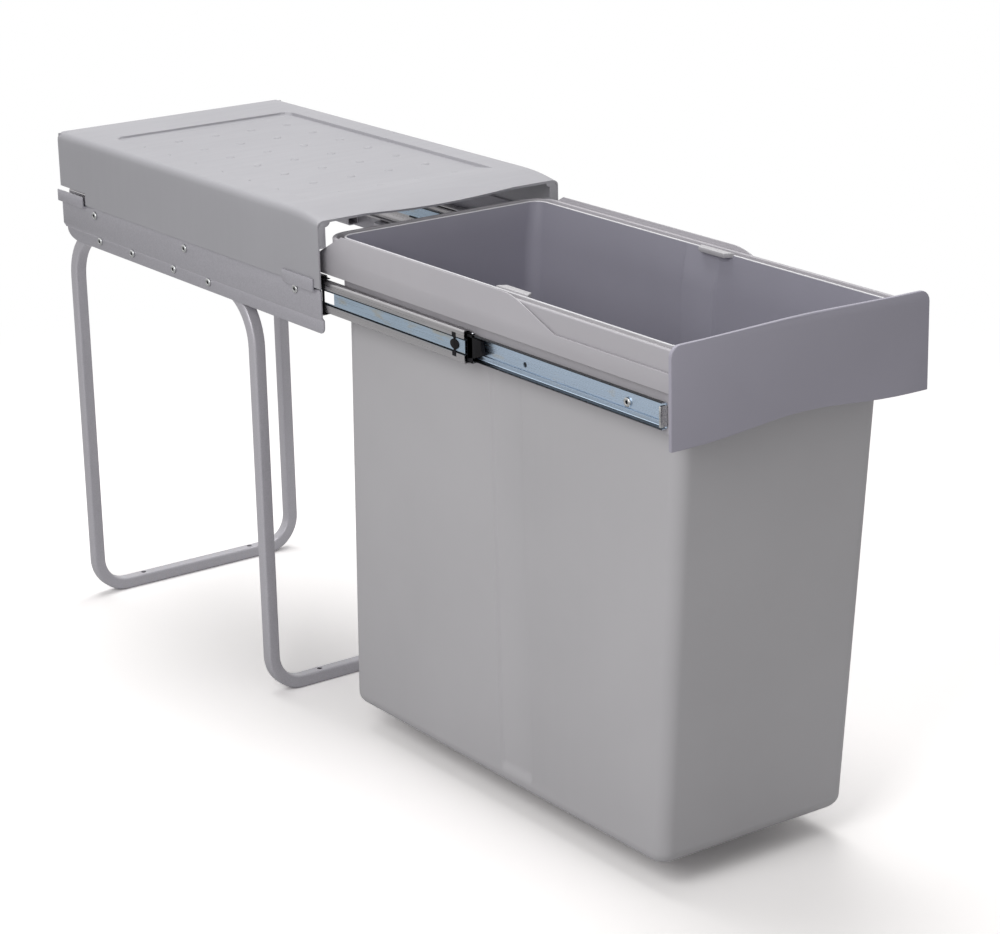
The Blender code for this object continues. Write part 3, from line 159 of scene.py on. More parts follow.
COVER_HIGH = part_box("cover")[1]
COVER_ROUND = 7 * MM
COVER_WALL = 2 * MM
COVER_BLEND = 16 * MM
COVER_SIDE_BOTTOM = 412.5 * MM
NOTCH_START = 418 * MM
NOTCH_TOP = 424 * MM
FRONT_FALL = 5 * MM
FRONT_FALL_RUN = 46 * MM
SCOOP_HALF = 78 * MM
SCOOP_RUN = 24 * MM
SCOOP_FALL = 3 * MM
TRAY_HALF = 97 * MM
TRAY_FRONT = 50 * MM
TRAY_REAR = 406 * MM
TRAY_RADIUS = 12 * MM
TRAY_WALL = 0.6 * MM
TRAY_FADE = 34 * MM
TRAY_BEAD = 1.6 * MM
TRAY_BEAD_RISE = 1.6 * MM
ROOF_COLUMNS = (
    112, 104, 99, 98, 97.5, 97.15, 97, 96.85, 96.5, 95.5, 94, 92.5, 91, 89, 87, 85, 78, 70, 60,
    50, 40, 30, 20, 10,
)
ROOF_ROWS = (
    50, 54, 58, 62, 66, 70, 76, 84, 110, 150, 200, 250, 300, 350, 390, 394, 396, 398, 400, 402,
    402.4, 402.8, 403.4, 404, 404.6, 405.4, 405.8, 406, 406.2, 406.6, 407.4, 409.2, 412, 418,
    418.01, 440, 467,
)
SCOOP_ROWS = (0.0, 0.5, 1.0)
FALL_ROWS = (0.08, 0.2, 0.4, 0.6, 0.8, 1.0)
REAR_LIP = 12 * MM
REAR_LIP_PLACE = 464.9 * MM
FLANGE_DEPTH = 8 * MM
FLANGE_BOTTOM = 447 * MM
FLANGE_SETBACK = 0.1 * MM
FLANGE_WALL = 2.4 * MM
BEAD_RADIUS = 5 * MM

# Brackets
BRACKET_SHEET = 1.6 * MM
BRACKET_FRONT = 3 * MM
BRACKET_REAR = 470.4 * MM
BRACKET_TOP = 440 * MM
JOGGLE_TOP = 386.4 * MM
JOGGLE_BOTTOM = 383.4 * MM
FLANGE_LOW = 371.5 * MM
FLANGE_ROUND = 6 * MM
FLANGE_END = 27 * MM
FLANGE_SWEEP = (23 * MM, 10 * MM)
TAB_EDGE_LEVEL = 410.5 * MM
TAB_HIGH = 420 * MM
TAB_RANGES = ((9 * MM, 58 * MM), (421 * MM, 471 * MM))
SHEET_EDGE = 0.3 * MM

# Holder
HOLDER_LOW, HOLDER_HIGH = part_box("holder")
BAND_BOTTOM = 423.6 * MM
BAND_TOP = 438.8 * MM
BAND_SETBACK = 0.3 * MM
BAND_EDGE = 0.5 * MM
BAND_LIP = 1.5 * MM
GROOVE_DEPTH = 2.4 * MM
FRONT_SETBACK = 0.2 * MM
FLANK_EDGE = 0.7 * MM
BAND_CORNER = 4 * MM
HOLDER_WALL = 2 * MM
RECESS = 2.0 * MM
RIM_TOP = 456 * MM
RIM_REAR = 11 * MM
RIM_REAR_RADIUS = 23.2 * MM
RAIL_WIDTH = 3.6 * MM
RAIL_ROUND = 1.3 * MM
RAIL_INNER_ROUND = 0.7 * MM
SHELF_TOP = 450 * MM
SHELF_REACH = 7.9 * MM
FLANGE_REACH = 6.3 * MM
WING_TOP = 460 * MM
WING_REAR = 14 * MM
WING_REAR_HEIGHT = 441.5 * MM
WING_CHAMFER_END = -21 * MM
WING_LEVEL_END = -252 * MM
WING_SWEEP_END = -319 * MM
WING_EASE = 0.35
FRONT_POST = 3.0 * MM
FRONT_POST_TOP = 454.6 * MM
SIDE_FACE = 110.9 * MM
SIDE_REAR = -15 * MM

# Bucket
WALL = 2 * MM
MOUTH_HALF = 105 * MM
MOUTH_FRONT = -455.8 * MM
MOUTH_REAR = 0.8 * MM
SHOULDER = 424 * MM
SHOULDER_HEIGHT = 5 * MM
SHOULDER_STEP = 4.5 * MM
SIDE_TAPER = 4.5 * MM
BODY_FRONT = -452 * MM
FOOT_FRONT = -419 * MM
REAR_LEAN = 18 * MM
BUCKET_CORNER = 13 * MM
FOOT_LEVEL = 24 * MM
FOOT_RADIUS = 11 * MM
LIP_REACH = 4.7 * MM
LIP_BOTTOM = 450.3 * MM
LIP_TOP = 452.3 * MM
LIP_EDGE = 0.4 * MM
INNER_STEP_LEVEL = 437.5 * MM
INNER_STEP = 0.03
INNER_BLEND_END = 421 * MM
CHANNEL = (-252 * MM, -206 * MM)
CHANNEL_DEPTH = 3 * MM
CHANNEL_FLANK = 4.5 * MM
CHANNEL_BOTTOM = 36 * MM
CHANNEL_TOP = 418 * MM
CHANNEL_FADE = 10 * MM
TAB_PLACE = (-268 * MM, -226 * MM)
TAB_REACH = 6.5 * MM
TAB_SLOPE = 5 * MM
TAB_TOP = 457.5 * MM
TAB_THICKNESS = 4 * MM
TAB_EDGE = 0.6 * MM

# Facets
MERGE_DISTANCE = 0.005 * MM
FLAT_ANGLE = math.radians(0.6)
ROUND_ANGLE = math.radians(34)
EDGE_ANGLE = math.radians(50)
CORNER_STEPS = 10
ROUND_STEPS = 6
FADE_STEPS = 5
SWEEP_STEPS = 18
BEND_STEPS = 14
HEEL_STEPS = 4
HOLE_STEPS = 24
TUBE_CORNER_STEPS = 5
BALL_FACETS = 3
STUD_FACETS = {"Segments": 16, "Rings": 8}
EDGE_STEPS = 2
HEAD_STEPS = 5
RIM_STEPS = 8
RAIL_INNER_STEPS = 3
FIRST_SCREW_SEED = 4
BALL_SEED = 2
HEAD_ANGLE = math.radians(30)

# Finishes
NOISE_RANGE = (0.3, 0.7)
PATCH_BLEND = 0.14
FOLD_BLEND = 1.2
METAL = {"Metallic": 1.0}
MATT = {"Specular IOR Level": 0.15}

# Camera, floor and light
CAMERA_ANGLES = (-35.3408, 18.0258, -1.2398)
CAMERA_PLACE = (-1.3808, -2.0267, 1.0259)
CAMERA_FOCAL_SHARE = 2.906
SENSOR_WIDTH = 36
CAMERA_REACH = 60
FLOOR_HALF = 3.0
FLOOR_CELLS = 8
FLOOR_FADE = (0.85, 1.5)
FLOOR_COLOUR = "#d4d4d4"
FLOOR_SEEN = (1.5, 1.47, 1.455, 1.0)
WORLD_LEVEL = 0.3
LAMPS = (
    ("overhead softbox", (0.3, 0.7, 2.6), (0, 0, 0.3), 1.8, 36),
    ("left softbox", (-1.5, -0.8, 1.4), (-0.1, -0.15, 0.3), 1.1, 14),
)


def linear(code):
    """Linear colour from an sRGB hex code."""
    parts = [int(code[i : i + 2], 16) / 255 for i in (1, 3, 5)]
    parts = [p / 12.92 if p <= 0.04045 else ((p + 0.055) / 1.055) ** 2.4 for p in parts]
    return (*parts, 1.0)


def per_metre(millimetres):
    """A texture scale whose pattern repeats about every so many millimetres."""
    return 1 / (millimetres * MM)


# Materials


def add(tree, kind, inputs=None, links=None, **settings):
    """A node with its settings, its own input values and what feeds it: a socket, or a node
    for its first output."""
    node = tree.nodes.new(kind)
    for name, value in settings.items():
        setattr(node, name, value)
    for socket, value in (inputs or {}).items():
        node.inputs[socket].default_value = value
    for socket, source in (links or {}).items():
        output = source.outputs[0] if isinstance(source, bpy.types.Node) else source
        tree.links.new(output, node.inputs[socket])
    return node


def new_material(name):
    """A material with an empty tree, the tree and its Object coordinates."""
    made = bpy.data.materials.new(name)
    made.use_nodes = True
    tree = made.node_tree
    tree.nodes.clear()
    return made, tree, add(tree, "ShaderNodeTexCoord").outputs["Object"]


def two_tone(tree, source, dark, light, low=0.35, high=0.65):
    """A colour that turns from dark to light where a noise runs from a low to a high level."""
    share = add(tree, "ShaderNodeMapRange", {"From Min": low, "From Max": high},
                {"Value": source})
    colours = {6: linear(dark), 7: linear(light)}
    return add(tree, "ShaderNodeMix", colours, {0: share}, data_type="RGBA").outputs[2]


def coated(made, tree, colour, source, roughness, reliefs, constants):
    """Ends a material. Its roughness runs between two values with a noise, and its reliefs
    lie one on another, as (noise, depth in millimetres)."""
    ends = dict(zip(("From Min", "From Max", "To Min", "To Max"), NOISE_RANGE + roughness))
    gloss = add(tree, "ShaderNodeMapRange", ends, {"Value": source})
    links = {"Base Color": colour, "Roughness": gloss}
    below = {}
    for height, depth in reliefs:
        skin = add(tree, "ShaderNodeBump", {"Strength": 1.0, "Distance": depth * MM},
                   {"Height": height, **below})
        below = {"Normal": skin}
    shader = add(tree, "ShaderNodeBsdfPrincipled", constants, {**links, **below})
    add(tree, "ShaderNodeOutputMaterial", links={"Surface": shader})
    return made


def moulded_plastic(name, dark, light, roughness, grain_depth, draw):
    """Injection-moulded polypropylene. A spark-eroded mould gives it a fine even grain and a
    satin gloss. Its colour drifts very slowly, and faint draw marks run the way that the
    piece left its mould."""
    made, tree, place = new_material(name)
    # The real grain is near 0.3 mm; it is drawn at 0.9 mm so that it shows.
    drift, grain = (
        add(tree, "ShaderNodeTexNoise", {"Scale": per_metre(size), "Detail": detail},
            {"Vector": place})
        for size, detail in ((150, 3.0), (0.9, 2.0))
    )
    along = add(tree, "ShaderNodeMapping", {"Scale": tuple(per_metre(size) for size in draw)},
                {"Vector": place})
    marks = add(tree, "ShaderNodeTexNoise", {"Scale": 1.0, "Detail": 2.0}, {"Vector": along})
    gloss = (roughness - 0.05, roughness + 0.05)
    reliefs = ((marks, 0.02), (grain, grain_depth))
    colour = two_tone(tree, drift, dark, light)
    return coated(made, tree, colour, marks, gloss, reliefs, {"IOR": 1.49})


def powder_coated_steel(name, dark, light, roughness):
    """Silver-grey powder coat, sprayed and baked on steel: fine metallic flake under a soft
    orange peel."""
    made, tree, place = new_material(name)
    # The real flake is near 0.1 mm; it is drawn at 1.1 mm so that it shows.
    flake, cloud, peel = (
        add(tree, "ShaderNodeTexNoise", {"Scale": per_metre(size), "Detail": detail},
            {"Vector": place})
        for size, detail in ((1.1, 1.0), (40, 3.0), (2.4, 1.0))
    )
    gloss = (roughness - 0.05, roughness + 0.07)
    constants = {"Metallic": 0.2, "IOR": 1.5}
    colour = two_tone(tree, flake, dark, light)
    return coated(made, tree, colour, cloud, gloss, ((peel, 0.02),), constants)


def zinc_plated_steel(name, blue, straw, fold, patches, fold_start, roughness):
    """Roll-formed strip, zinc plated and blue passivated. Rolling lines run along it, slow
    patches turn from blue towards straw where the passivation is thicker, and it ran thin
    over the folded lips, which stay a plain warm grey."""
    made, tree, place = new_material(name)
    # The rolling lines are near 0.1 mm apart; they are drawn at 0.7 mm so that they show.
    patch, rolled = (
        add(tree, "ShaderNodeTexNoise", {"Scale": 1.0, "Detail": 3.0}, {
            "Vector": add(tree, "ShaderNodeMapping",
                          {"Scale": (per_metre(wide), per_metre(long), per_metre(wide))},
                          {"Vector": place})
        })
        for wide, long in ((9, 30), (0.7, 60))
    )
    web = two_tone(tree, patch, blue, straw, patches, patches + PATCH_BLEND)
    axes = add(tree, "ShaderNodeSeparateXYZ", links={"Vector": place})
    above = add(tree, "ShaderNodeMath", {1: SLIDE_LINE}, {0: axes.outputs["Z"]},
                operation="SUBTRACT")
    height = add(tree, "ShaderNodeMath", links={0: above}, operation="ABSOLUTE")
    folded = add(tree, "ShaderNodeMapRange",
                 {"From Min": fold_start * MM, "From Max": (fold_start + FOLD_BLEND) * MM},
                 {"Value": height})
    colour = add(tree, "ShaderNodeMix", {7: linear(fold)}, {0: folded, 6: web},
                 data_type="RGBA").outputs[2]
    gloss = (roughness - 0.08, roughness + 0.1)
    return coated(made, tree, colour, rolled, gloss, ((rolled, 0.01),), METAL)


def small_part(name, dark, light, roughness, patch, relief, constants):
    """Small turned, headed or moulded pieces, whose skin varies in patches of a size in
    millimetres with a relief in millimetres."""
    made, tree, place = new_material(name)
    mottle = add(tree, "ShaderNodeTexNoise", {"Scale": per_metre(patch), "Detail": 2.5},
                 {"Vector": place})
    gloss = (roughness - 0.06, roughness + 0.08)
    colour = two_tone(tree, mottle, dark, light)
    return coated(made, tree, colour, mottle, gloss, ((mottle, relief),), constants)


# The cover's grey is set darker than the holder's and the bucket's, though it is the same
# plastic: painted shade, for the light that falls off towards its rear.
COVER_SHADED = moulded_plastic(
    "cover, grained polypropylene", "#b0afb4", "#b4b3b8", 0.5, 0.03, (60, 9, 60)
)
HOLDER = moulded_plastic(
    "holder, satin polypropylene", "#bcb9be", "#c0bdc2", 0.44, 0.018, (40, 16, 40)
)
# The front panel is set darker than the bucket's plastic: painted shade, as its face turns away
# from the light.
PANEL_SHADED = moulded_plastic(
    "front panel, satin polypropylene", "#aeabb8", "#b2afbc", 0.46, 0.018, (18, 60, 60)
)
BUCKET = moulded_plastic(
    "bucket, drawn polypropylene", "#c3c1c4", "#c7c5c8", 0.46, 0.015, (18, 18, 300)
)
# The inside takes a darker, bluer copy of the bucket's plastic: painted shade for the light that
# does not reach into it. The core of the mould is polished, so the inside is also a little
# smoother.
BUCKET_SHADED_INSIDE = moulded_plastic(
    "bucket inside, polished polypropylene", "#a09eaa", "#a5a3af", 0.42, 0.01, (24, 24, 300)
)
FRAME_PAINT = powder_coated_steel("frame, silver powder coat", "#b0aeb5", "#bab8bf", 0.42)
# The legs take a paler copy of the frame's coat: painted light, for the light that the floor
# throws up onto them.
LEG_PAINT_LIT = powder_coated_steel("legs, silver powder coat", "#c4c2c8", "#ccc9d0", 0.34)
# Roll-formed strip of the slides: pale blue webs between warm grey folded lips.
ZINC = zinc_plated_steel(
    "slides, blue zinc plate with warm lips", "#bccfe1", "#c3c6c3", "#bcbabc", 0.55, 5.9, 0.3
)
# The inner members are newer bright strip, blue to the edge and almost without straw.
ZINC_BLUE = zinc_plated_steel(
    "inner slides, bright blue zinc plate", "#c6d8ec", "#cdd2d4", "#d2dfe9", 0.6, 9.0, 0.28
)
# The top of the bucket's rim takes a pale, glossier copy of the plastic: a painted highlight
# along the rim.
RIM_HIGHLIGHT = moulded_plastic(
    "rims, scraped smooth", "#e6e5e8", "#ecebee", 0.25, 0.004, (500, 40, 500)
)
# The ball tracks and the narrow grooves beside them are near black: painted shade in the folds.
TRACK_SHADE = small_part(
    "ball tracks, greased zinc plate", "#2b2d30", "#45494d", 0.3, 3, 0.01, METAL
)
# Cold-headed screws, plated bright, with a faint peened skin.
SCREW_STEEL = small_part(
    "screws, bright zinc plate", "#b8babd", "#d0d0ce", 0.24, 1.3, 0.01, METAL
)
# The sockets are near black: painted shade in the hollow of each socket.
SOCKET_SHADE = small_part(
    "screw sockets, dull steel", "#26262a", "#3a3a3e", 0.5, 0.8, 0.01, METAL
)
# Ground and polished bearing balls, nearly mirror bright.
BALL_STEEL = small_part(
    "balls, polished bearing steel", "#c5c7cc", "#d6d7da", 0.14, 2.0, 0.002, METAL
)
# Unfilled black acetal, moulded matt.
BLACK = small_part("slide stops, black acetal", "#0d0c0f", "#17161a", 0.6, 6, 0.02, MATT)


# Meshes


def linked(name, data):
    """A new object in the scene."""
    made = bpy.data.objects.new(name, data)
    bpy.context.scene.collection.objects.link(made)
    return made


def object_of(name, mesh, finishes, sharp=ROUND_ANGLE):
    """An object from a bmesh, smooth but for edges sharper than an angle."""
    data = bpy.data.meshes.new(name)
    mesh.to_mesh(data)
    mesh.free()
    for finish in finishes:
        data.materials.append(finish)
    data.shade_smooth()
    data.set_sharp_from_angle(angle=sharp)
    return linked(name, data)


def settled(made):
    """The object as its modifiers leave it, with a plain mesh and no modifiers."""
    bpy.context.view_layer.update()
    graph = bpy.context.evaluated_depsgraph_get()
    finishes = made.data.materials[:] if made.type == "MESH" else []
    mesh = bpy.data.meshes.new_from_object(made.evaluated_get(graph))
    name = made.name
    bpy.data.objects.remove(made, do_unlink=True)
    mesh.name = name
    if not mesh.materials:
        for finish in finishes:
            mesh.materials.append(finish)
    mesh.shade_smooth()
    mesh.set_sharp_from_angle(angle=ROUND_ANGLE)
    return linked(name, mesh)


def reopened(made):
    """An object's name, its mesh to build on and its finishes. The object itself goes."""
    mesh = bmesh.new()
    mesh.from_mesh(made.data)
    name, finishes = made.name, made.data.materials[:]
    bpy.data.objects.remove(made, do_unlink=True)
    return name, mesh, finishes


def walled(made, thickness):
    """The object with a wall inwards from its skin."""
    wall = made.modifiers.new("wall", "SOLIDIFY")
    wall.thickness = thickness
    wall.offset = -1
    return made


def seated(made, body, nodes):
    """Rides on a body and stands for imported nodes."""
    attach(made, body)
    if nodes:
        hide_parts(*nodes)


def dressed(node, name, finish):
    """A finished piece of the node's own shape that stands for the node."""
    mesh = bmesh.new()
    mesh.from_mesh(frame["nodes"][node].data)
    bmesh.ops.remove_doubles(mesh, verts=mesh.verts[:], dist=MERGE_DISTANCE)
    edges, points = mesh.edges[:], mesh.verts[:]
    bmesh.ops.dissolve_limit(mesh, angle_limit=FLAT_ANGLE, verts=points, edges=edges)
    made = object_of(name, mesh, [finish])
    seated(made, frame["nodes"][node]["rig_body"], [node])


def ring_loft(rings, closed=False, inner_from=None):
    """Skins rings of points that run anticlockwise from above, first ring lowest outside.
    Faces from one ring on may take the second finish."""
    mesh = bmesh.new()
    grid = [[mesh.verts.new(point) for point in ring] for ring in rings]
    pairs = list(zip(grid, grid[1:])) + ([(grid[-1], grid[0])] if closed else [])
    for level, (low, high) in enumerate(pairs):
        for i, vertex in enumerate(low):
            j = (i + 1) % len(low)
            face = mesh.faces.new((vertex, low[j], high[j], high[i]))
            face.material_index = int(inner_from is not None and level >= inner_from)
    if not closed:
        mesh.faces.new(grid[0][::-1])
        mesh.faces.new(grid[-1]).material_index = int(inner_from is not None)
    return mesh


def arc(centre, radius, start, end, steps):
    """Points on a circle, from one angle in degrees to another."""
    turns = [math.radians(start + (end - start) * i / steps) for i in range(steps + 1)]
    return [(centre[0] + radius * math.cos(t), centre[1] + radius * math.sin(t)) for t in turns]


def circle(centre, radius):
    """The outline of a disc."""
    return arc(centre, radius, 0, 360 * (HOLE_STEPS - 1) / HOLE_STEPS, HOLE_STEPS - 1)


def smooth(share):
    """A share from 0 to 1 that starts and ends gently."""
    share = min(max(share, 0), 1)
    return share * share * (3 - 2 * share)


def add_slab(mesh, outline, low, high, place, edge, finish=0):
    """Adds a plate with softened edges: an outline swept from low to high."""
    part = bmesh.new()
    ends = [[part.verts.new(place(a, b, level)) for a, b in outline] for level in (low, high)]
    part.faces.new(ends[0][::-1])
    part.faces.new(ends[1])
    for i in range(len(outline)):
        j = (i + 1) % len(outline)
        part.faces.new((ends[0][i], ends[0][j], ends[1][j], ends[1][i]))
    bmesh.ops.recalc_face_normals(part, faces=part.faces[:])
    if edge:
        sharp = [e for e in part.edges if e.calc_face_angle() > EDGE_ANGLE]
        bmesh.ops.bevel(
            part, geom=sharp, offset=edge, segments=EDGE_STEPS, profile=0.5, affect="EDGES"
        )
    for face in part.faces:
        face.material_index = finish
    data = bpy.data.meshes.new("slab")
    part.to_mesh(data)
    part.free()
    mesh.from_mesh(data)
    bpy.data.meshes.remove(data)


def across(a, b, level):
    """A point from a Y and a Z in the outline, at an X level."""
    return Vector((level, a, b))


def upright(a, b, level):
    """A point from an X and a Y in the outline, at a Z level."""
    return Vector((a, b, level))


def lengthways(a, b, level):
    """A point from an X and a Z in the outline, at a Y level."""
    return Vector((a, level, b))


def rectangle(low_a, high_a, low_b, high_b):
    return [(low_a, low_b), (high_a, low_b), (high_a, high_b), (low_a, high_b)]


def on_side(side, outline):
    """An outline of an X and another measure, turned to the left or the right."""
    return [(side * x, other) for x, other in outline]


def strip(path, thickness):
    """The outline of a folded sheet round its middle line."""
    points = [Vector(point) for point in path]
    runs = [(b - a).normalized() for a, b in zip(points, points[1:])]
    near, far = [], []
    for i, point in enumerate(points):
        before, after = runs[max(i - 1, 0)], runs[min(i, len(runs) - 1)]
        normals = [Vector((-run.y, run.x)) for run in (before, after)]
        offset = (normals[0] + normals[1]) / (1 + normals[0].dot(normals[1])) * thickness / 2
        near.append(tuple(point + offset))
        far.append(tuple(point - offset))
    return near + far[::-1]


def carved(made, cutters):
    """The object with other solids cut out of it."""
    tools = []
    for i, cutter in enumerate(cutters):
        tool = object_of(f"{made.name} cutter {i}", cutter, [])
        modifier = made.modifiers.new(f"cut {i}", "BOOLEAN")
        modifier.operation = "DIFFERENCE"
        modifier.object = tool
        modifier.solver = "EXACT"
        tools.append(tool)
    made = settled(made)
    for tool in tools:
        bpy.data.objects.remove(tool, do_unlink=True)
    return made


def round_hole(radius, start, end):
    """A round cutter between two points."""
    mesh = bmesh.new()
    start, end = Vector(start), Vector(end)
    turn = (end - start).to_track_quat("Z", "Y").to_matrix().to_4x4()
    bmesh.ops.create_cone(
        mesh, cap_ends=True, segments=HOLE_STEPS, radius1=radius, radius2=radius,
        depth=(end - start).length, matrix=Matrix.Translation((start + end) / 2) @ turn,
    )
    return mesh


# Geometry Nodes


def node_tree(name, kinds):
    """A Geometry Nodes tree with a geometry socket and named inputs of these kinds."""
    tree = bpy.data.node_groups.new(name, "GeometryNodeTree")
    for label, kind in {"Geometry": "Geometry", **kinds}.items():
        tree.interface.new_socket(label, in_out="INPUT", socket_type=f"NodeSocket{kind}")
    tree.interface.new_socket("Geometry", in_out="OUTPUT", socket_type="NodeSocketGeometry")
    return tree, add(tree, "NodeGroupInput").outputs


def finish_tree(tree, geometry, material, hollow=None):
    """Ends a tree in real geometry that carries its material, and a second material, painted
    shade, on faces marked as hollow.
    """
    real = add(tree, "GeometryNodeRealizeInstances", links={"Geometry": geometry})
    last = add(tree, "GeometryNodeSetMaterial", links={"Geometry": real, "Material": material})
    if hollow:
        inside = add(tree, "GeometryNodeInputNamedAttribute", {"Name": "hollow"},
                     data_type="BOOLEAN")
        last = add(tree, "GeometryNodeSetMaterial",
                   links={"Geometry": last, "Selection": inside, "Material": hollow})
    add(tree, "NodeGroupOutput", links={"Geometry": last})
    return tree


def grown(base, tree, values):
    """Runs a tree on a base object with these input values, and keeps the plain result."""
    modifier = base.modifiers.new(tree.name, "NODES")
    modifier.node_group = tree
    for item in tree.interface.items_tree:
        if item.in_out == "INPUT" and item.name in values:
            modifier[item.identifier] = values[item.name]
    return settled(base)


def repeat_tree():
    """Sets a pattern piece on each point, its Z along the point's outwards arrow, each copy
    turned about that arrow by a seeded random angle."""
    tree, given = node_tree("repeat on arrows", {
        "Pattern": "Object", "Most turn": "Float", "Seed": "Int", "Finish": "Material",
        "Hollow finish": "Material",
    })
    pattern = add(tree, "GeometryNodeObjectInfo", links={"Object": given["Pattern"]})
    arrow = add(tree, "GeometryNodeInputNamedAttribute", {"Name": "outwards"},
                data_type="FLOAT_VECTOR")
    facing = add(tree, "FunctionNodeAlignRotationToVector", links={"Vector": arrow}, axis="Z")
    angle = add(tree, "FunctionNodeRandomValue",
                links={3: given["Most turn"], "Seed": given["Seed"]}, data_type="FLOAT")
    turn = add(tree, "FunctionNodeAxisAngleToRotation", {"Axis": (0, 0, 1)},
               {"Angle": angle.outputs[1]})
    turned = add(tree, "FunctionNodeRotateRotation",
                 links={"Rotation": facing, "Rotate By": turn}, rotation_space="LOCAL")
    pattern = pattern.outputs["Geometry"]
    copies = add(tree, "GeometryNodeInstanceOnPoints",
                 links={"Points": given["Geometry"], "Instance": pattern, "Rotation": turned})
    return finish_tree(tree, copies, given["Finish"], given["Hollow finish"])


def tube_tree():
    """Sweeps a square tube with rounded corners along the base curve."""
    kinds = {"Side": "Float", "Corner radius": "Float", "Finish": "Material"}
    tree, given = node_tree("square tube", kinds)
    square = add(tree, "GeometryNodeCurvePrimitiveQuadrilateral",
                 links={"Width": given["Side"], "Height": given["Side"]}, mode="RECTANGLE")
    section = add(tree, "GeometryNodeFilletCurve", {"Count": TUBE_CORNER_STEPS},
                  {"Curve": square, "Radius": given["Corner radius"]}, mode="POLY")
    swept = add(tree, "GeometryNodeCurveToMesh",
                links={"Curve": given["Geometry"], "Profile Curve": section})
    return finish_tree(tree, swept, given["Finish"])


def stud_tree():
    """Rows of low round studs on a level floor."""
    tree, given = node_tree("studs in rows", {
        "Columns": "Int", "Rows": "Int", "Width": "Float", "Length": "Float",
        "Stud radius": "Float", "Rise share": "Float", "Middle": "Vector", "Finish": "Material",
    })
    grid = add(tree, "GeometryNodeMeshGrid", links={
        "Size X": given["Width"], "Size Y": given["Length"],
        "Vertices X": given["Columns"], "Vertices Y": given["Rows"],
    })
    placed = add(tree, "GeometryNodeSetPosition",
                 links={"Geometry": grid, "Offset": given["Middle"]})
    stud = add(tree, "GeometryNodeMeshUVSphere", STUD_FACETS, {"Radius": given["Stud radius"]})
    flat = add(tree, "ShaderNodeCombineXYZ", {"X": 1.0, "Y": 1.0}, {"Z": given["Rise share"]})
    copies = add(tree, "GeometryNodeInstanceOnPoints",
                 links={"Points": placed, "Instance": stud, "Scale": flat})
    return finish_tree(tree, copies, given["Finish"])


def points_object(name, places):
    """Loose points with an outwards arrow each, as (place, arrow)."""
    mesh = bpy.data.meshes.new(name)
    mesh.from_pydata([place for place, _ in places], [], [])
    arrows = mesh.attributes.new("outwards", "FLOAT_VECTOR", "POINT")
    for i, (_, arrow) in enumerate(places):
        arrows.data[i].vector = arrow
    return linked(name, mesh)


REPEAT = repeat_tree()


def repeated(name, places, pattern, finish, hollow, seed):
    """Copies of a pattern piece at each place."""
    return grown(points_object(name, places), REPEAT, {
        "Pattern": pattern, "Most turn": math.tau, "Seed": seed, "Finish": finish,
        "Hollow finish": hollow,
    })


# Screws and balls


def screw_pattern():
    """A pan-head screw with a hexagon socket, its seat at the origin and its head up."""
    head, height = SCREW_HEAD_RADIUS, SCREW_HEAD_HEIGHT
    crown = (head - SCREW_HEAD_ROUND, height - SCREW_HEAD_ROUND)
    profile = [(SCREW_SHANK_RADIUS, -SCREW_SHANK_LENGTH), (SCREW_SHANK_RADIUS, 0)]
    profile += [(head - SCREW_EDGE, 0), (head, SCREW_EDGE)]
    profile += arc(crown, SCREW_HEAD_ROUND, 0, 90, HEAD_STEPS)
    profile += [(SOCKET_RADIUS + SCREW_EDGE, height)]
    turns = [math.tau * i / SCREW_STEPS for i in range(SCREW_STEPS)]
    rings = [
        [Vector((radius * math.cos(t), radius * math.sin(t), level)) for t in turns]
        for radius, level in profile
    ]
    sixth = math.pi / 3
    for depth in (SCREW_EDGE, SOCKET_DEPTH):
        hexagon = []
        for t in turns:
            within = (t + sixth / 2) % sixth - sixth / 2
            radius = SOCKET_RADIUS * math.cos(sixth / 2) / math.cos(within)
            hexagon.append(Vector((radius * math.cos(t), radius * math.sin(t), height - depth)))
        rings.append(hexagon)
    mesh = ring_loft(rings, inner_from=len(rings) - 2)
    # Faces in the socket take the near-black finish: painted shade.
    hollow = [bool(face.material_index) for face in mesh.faces]
    made = object_of("screw pattern", mesh, [SCREW_STEEL], HEAD_ANGLE)
    marks = made.data.attributes.new("hollow", "BOOLEAN", "FACE")
    for i, inside in enumerate(hollow):
        marks.data[i].value = inside
    return made


def make_screws():
    pattern = screw_pattern()
    groups = {"frame": ([], []), "carriage": ([], [])}
    rows = (
        ("frame", "slide_screw", BRACKET_FACE, SLIDE_SCREW_PLACES, SLIDE_LINE),
        ("frame", "leg_screw", FLANGE_FACE, LEG_SCREW_PLACES, RUN_LINE),
        ("carriage", "holder_screw", INNER_SCREW_SEAT, HOLDER_SCREW_PLACES, SLIDE_LINE),
    )
    for side in SIDES:
        for body, kind, seat, places, height in rows:
            for number, y in enumerate(places, 1):
                groups[body][0].append(((side * seat, y, height), (side, 0, 0)))
                groups[body][1].append(f"{kind}_{side_word(side)}_{number}")
    for seed, (body, (places, nodes)) in enumerate(groups.items(), FIRST_SCREW_SEED):
        screws = repeated(f"{body}_screws", places, pattern, SCREW_STEEL, SOCKET_SHADE, seed)
        seated(screws, body, nodes)
    bpy.data.objects.remove(pattern, do_unlink=True)


def side_word(side):
    return "left" if side < 0 else "right"


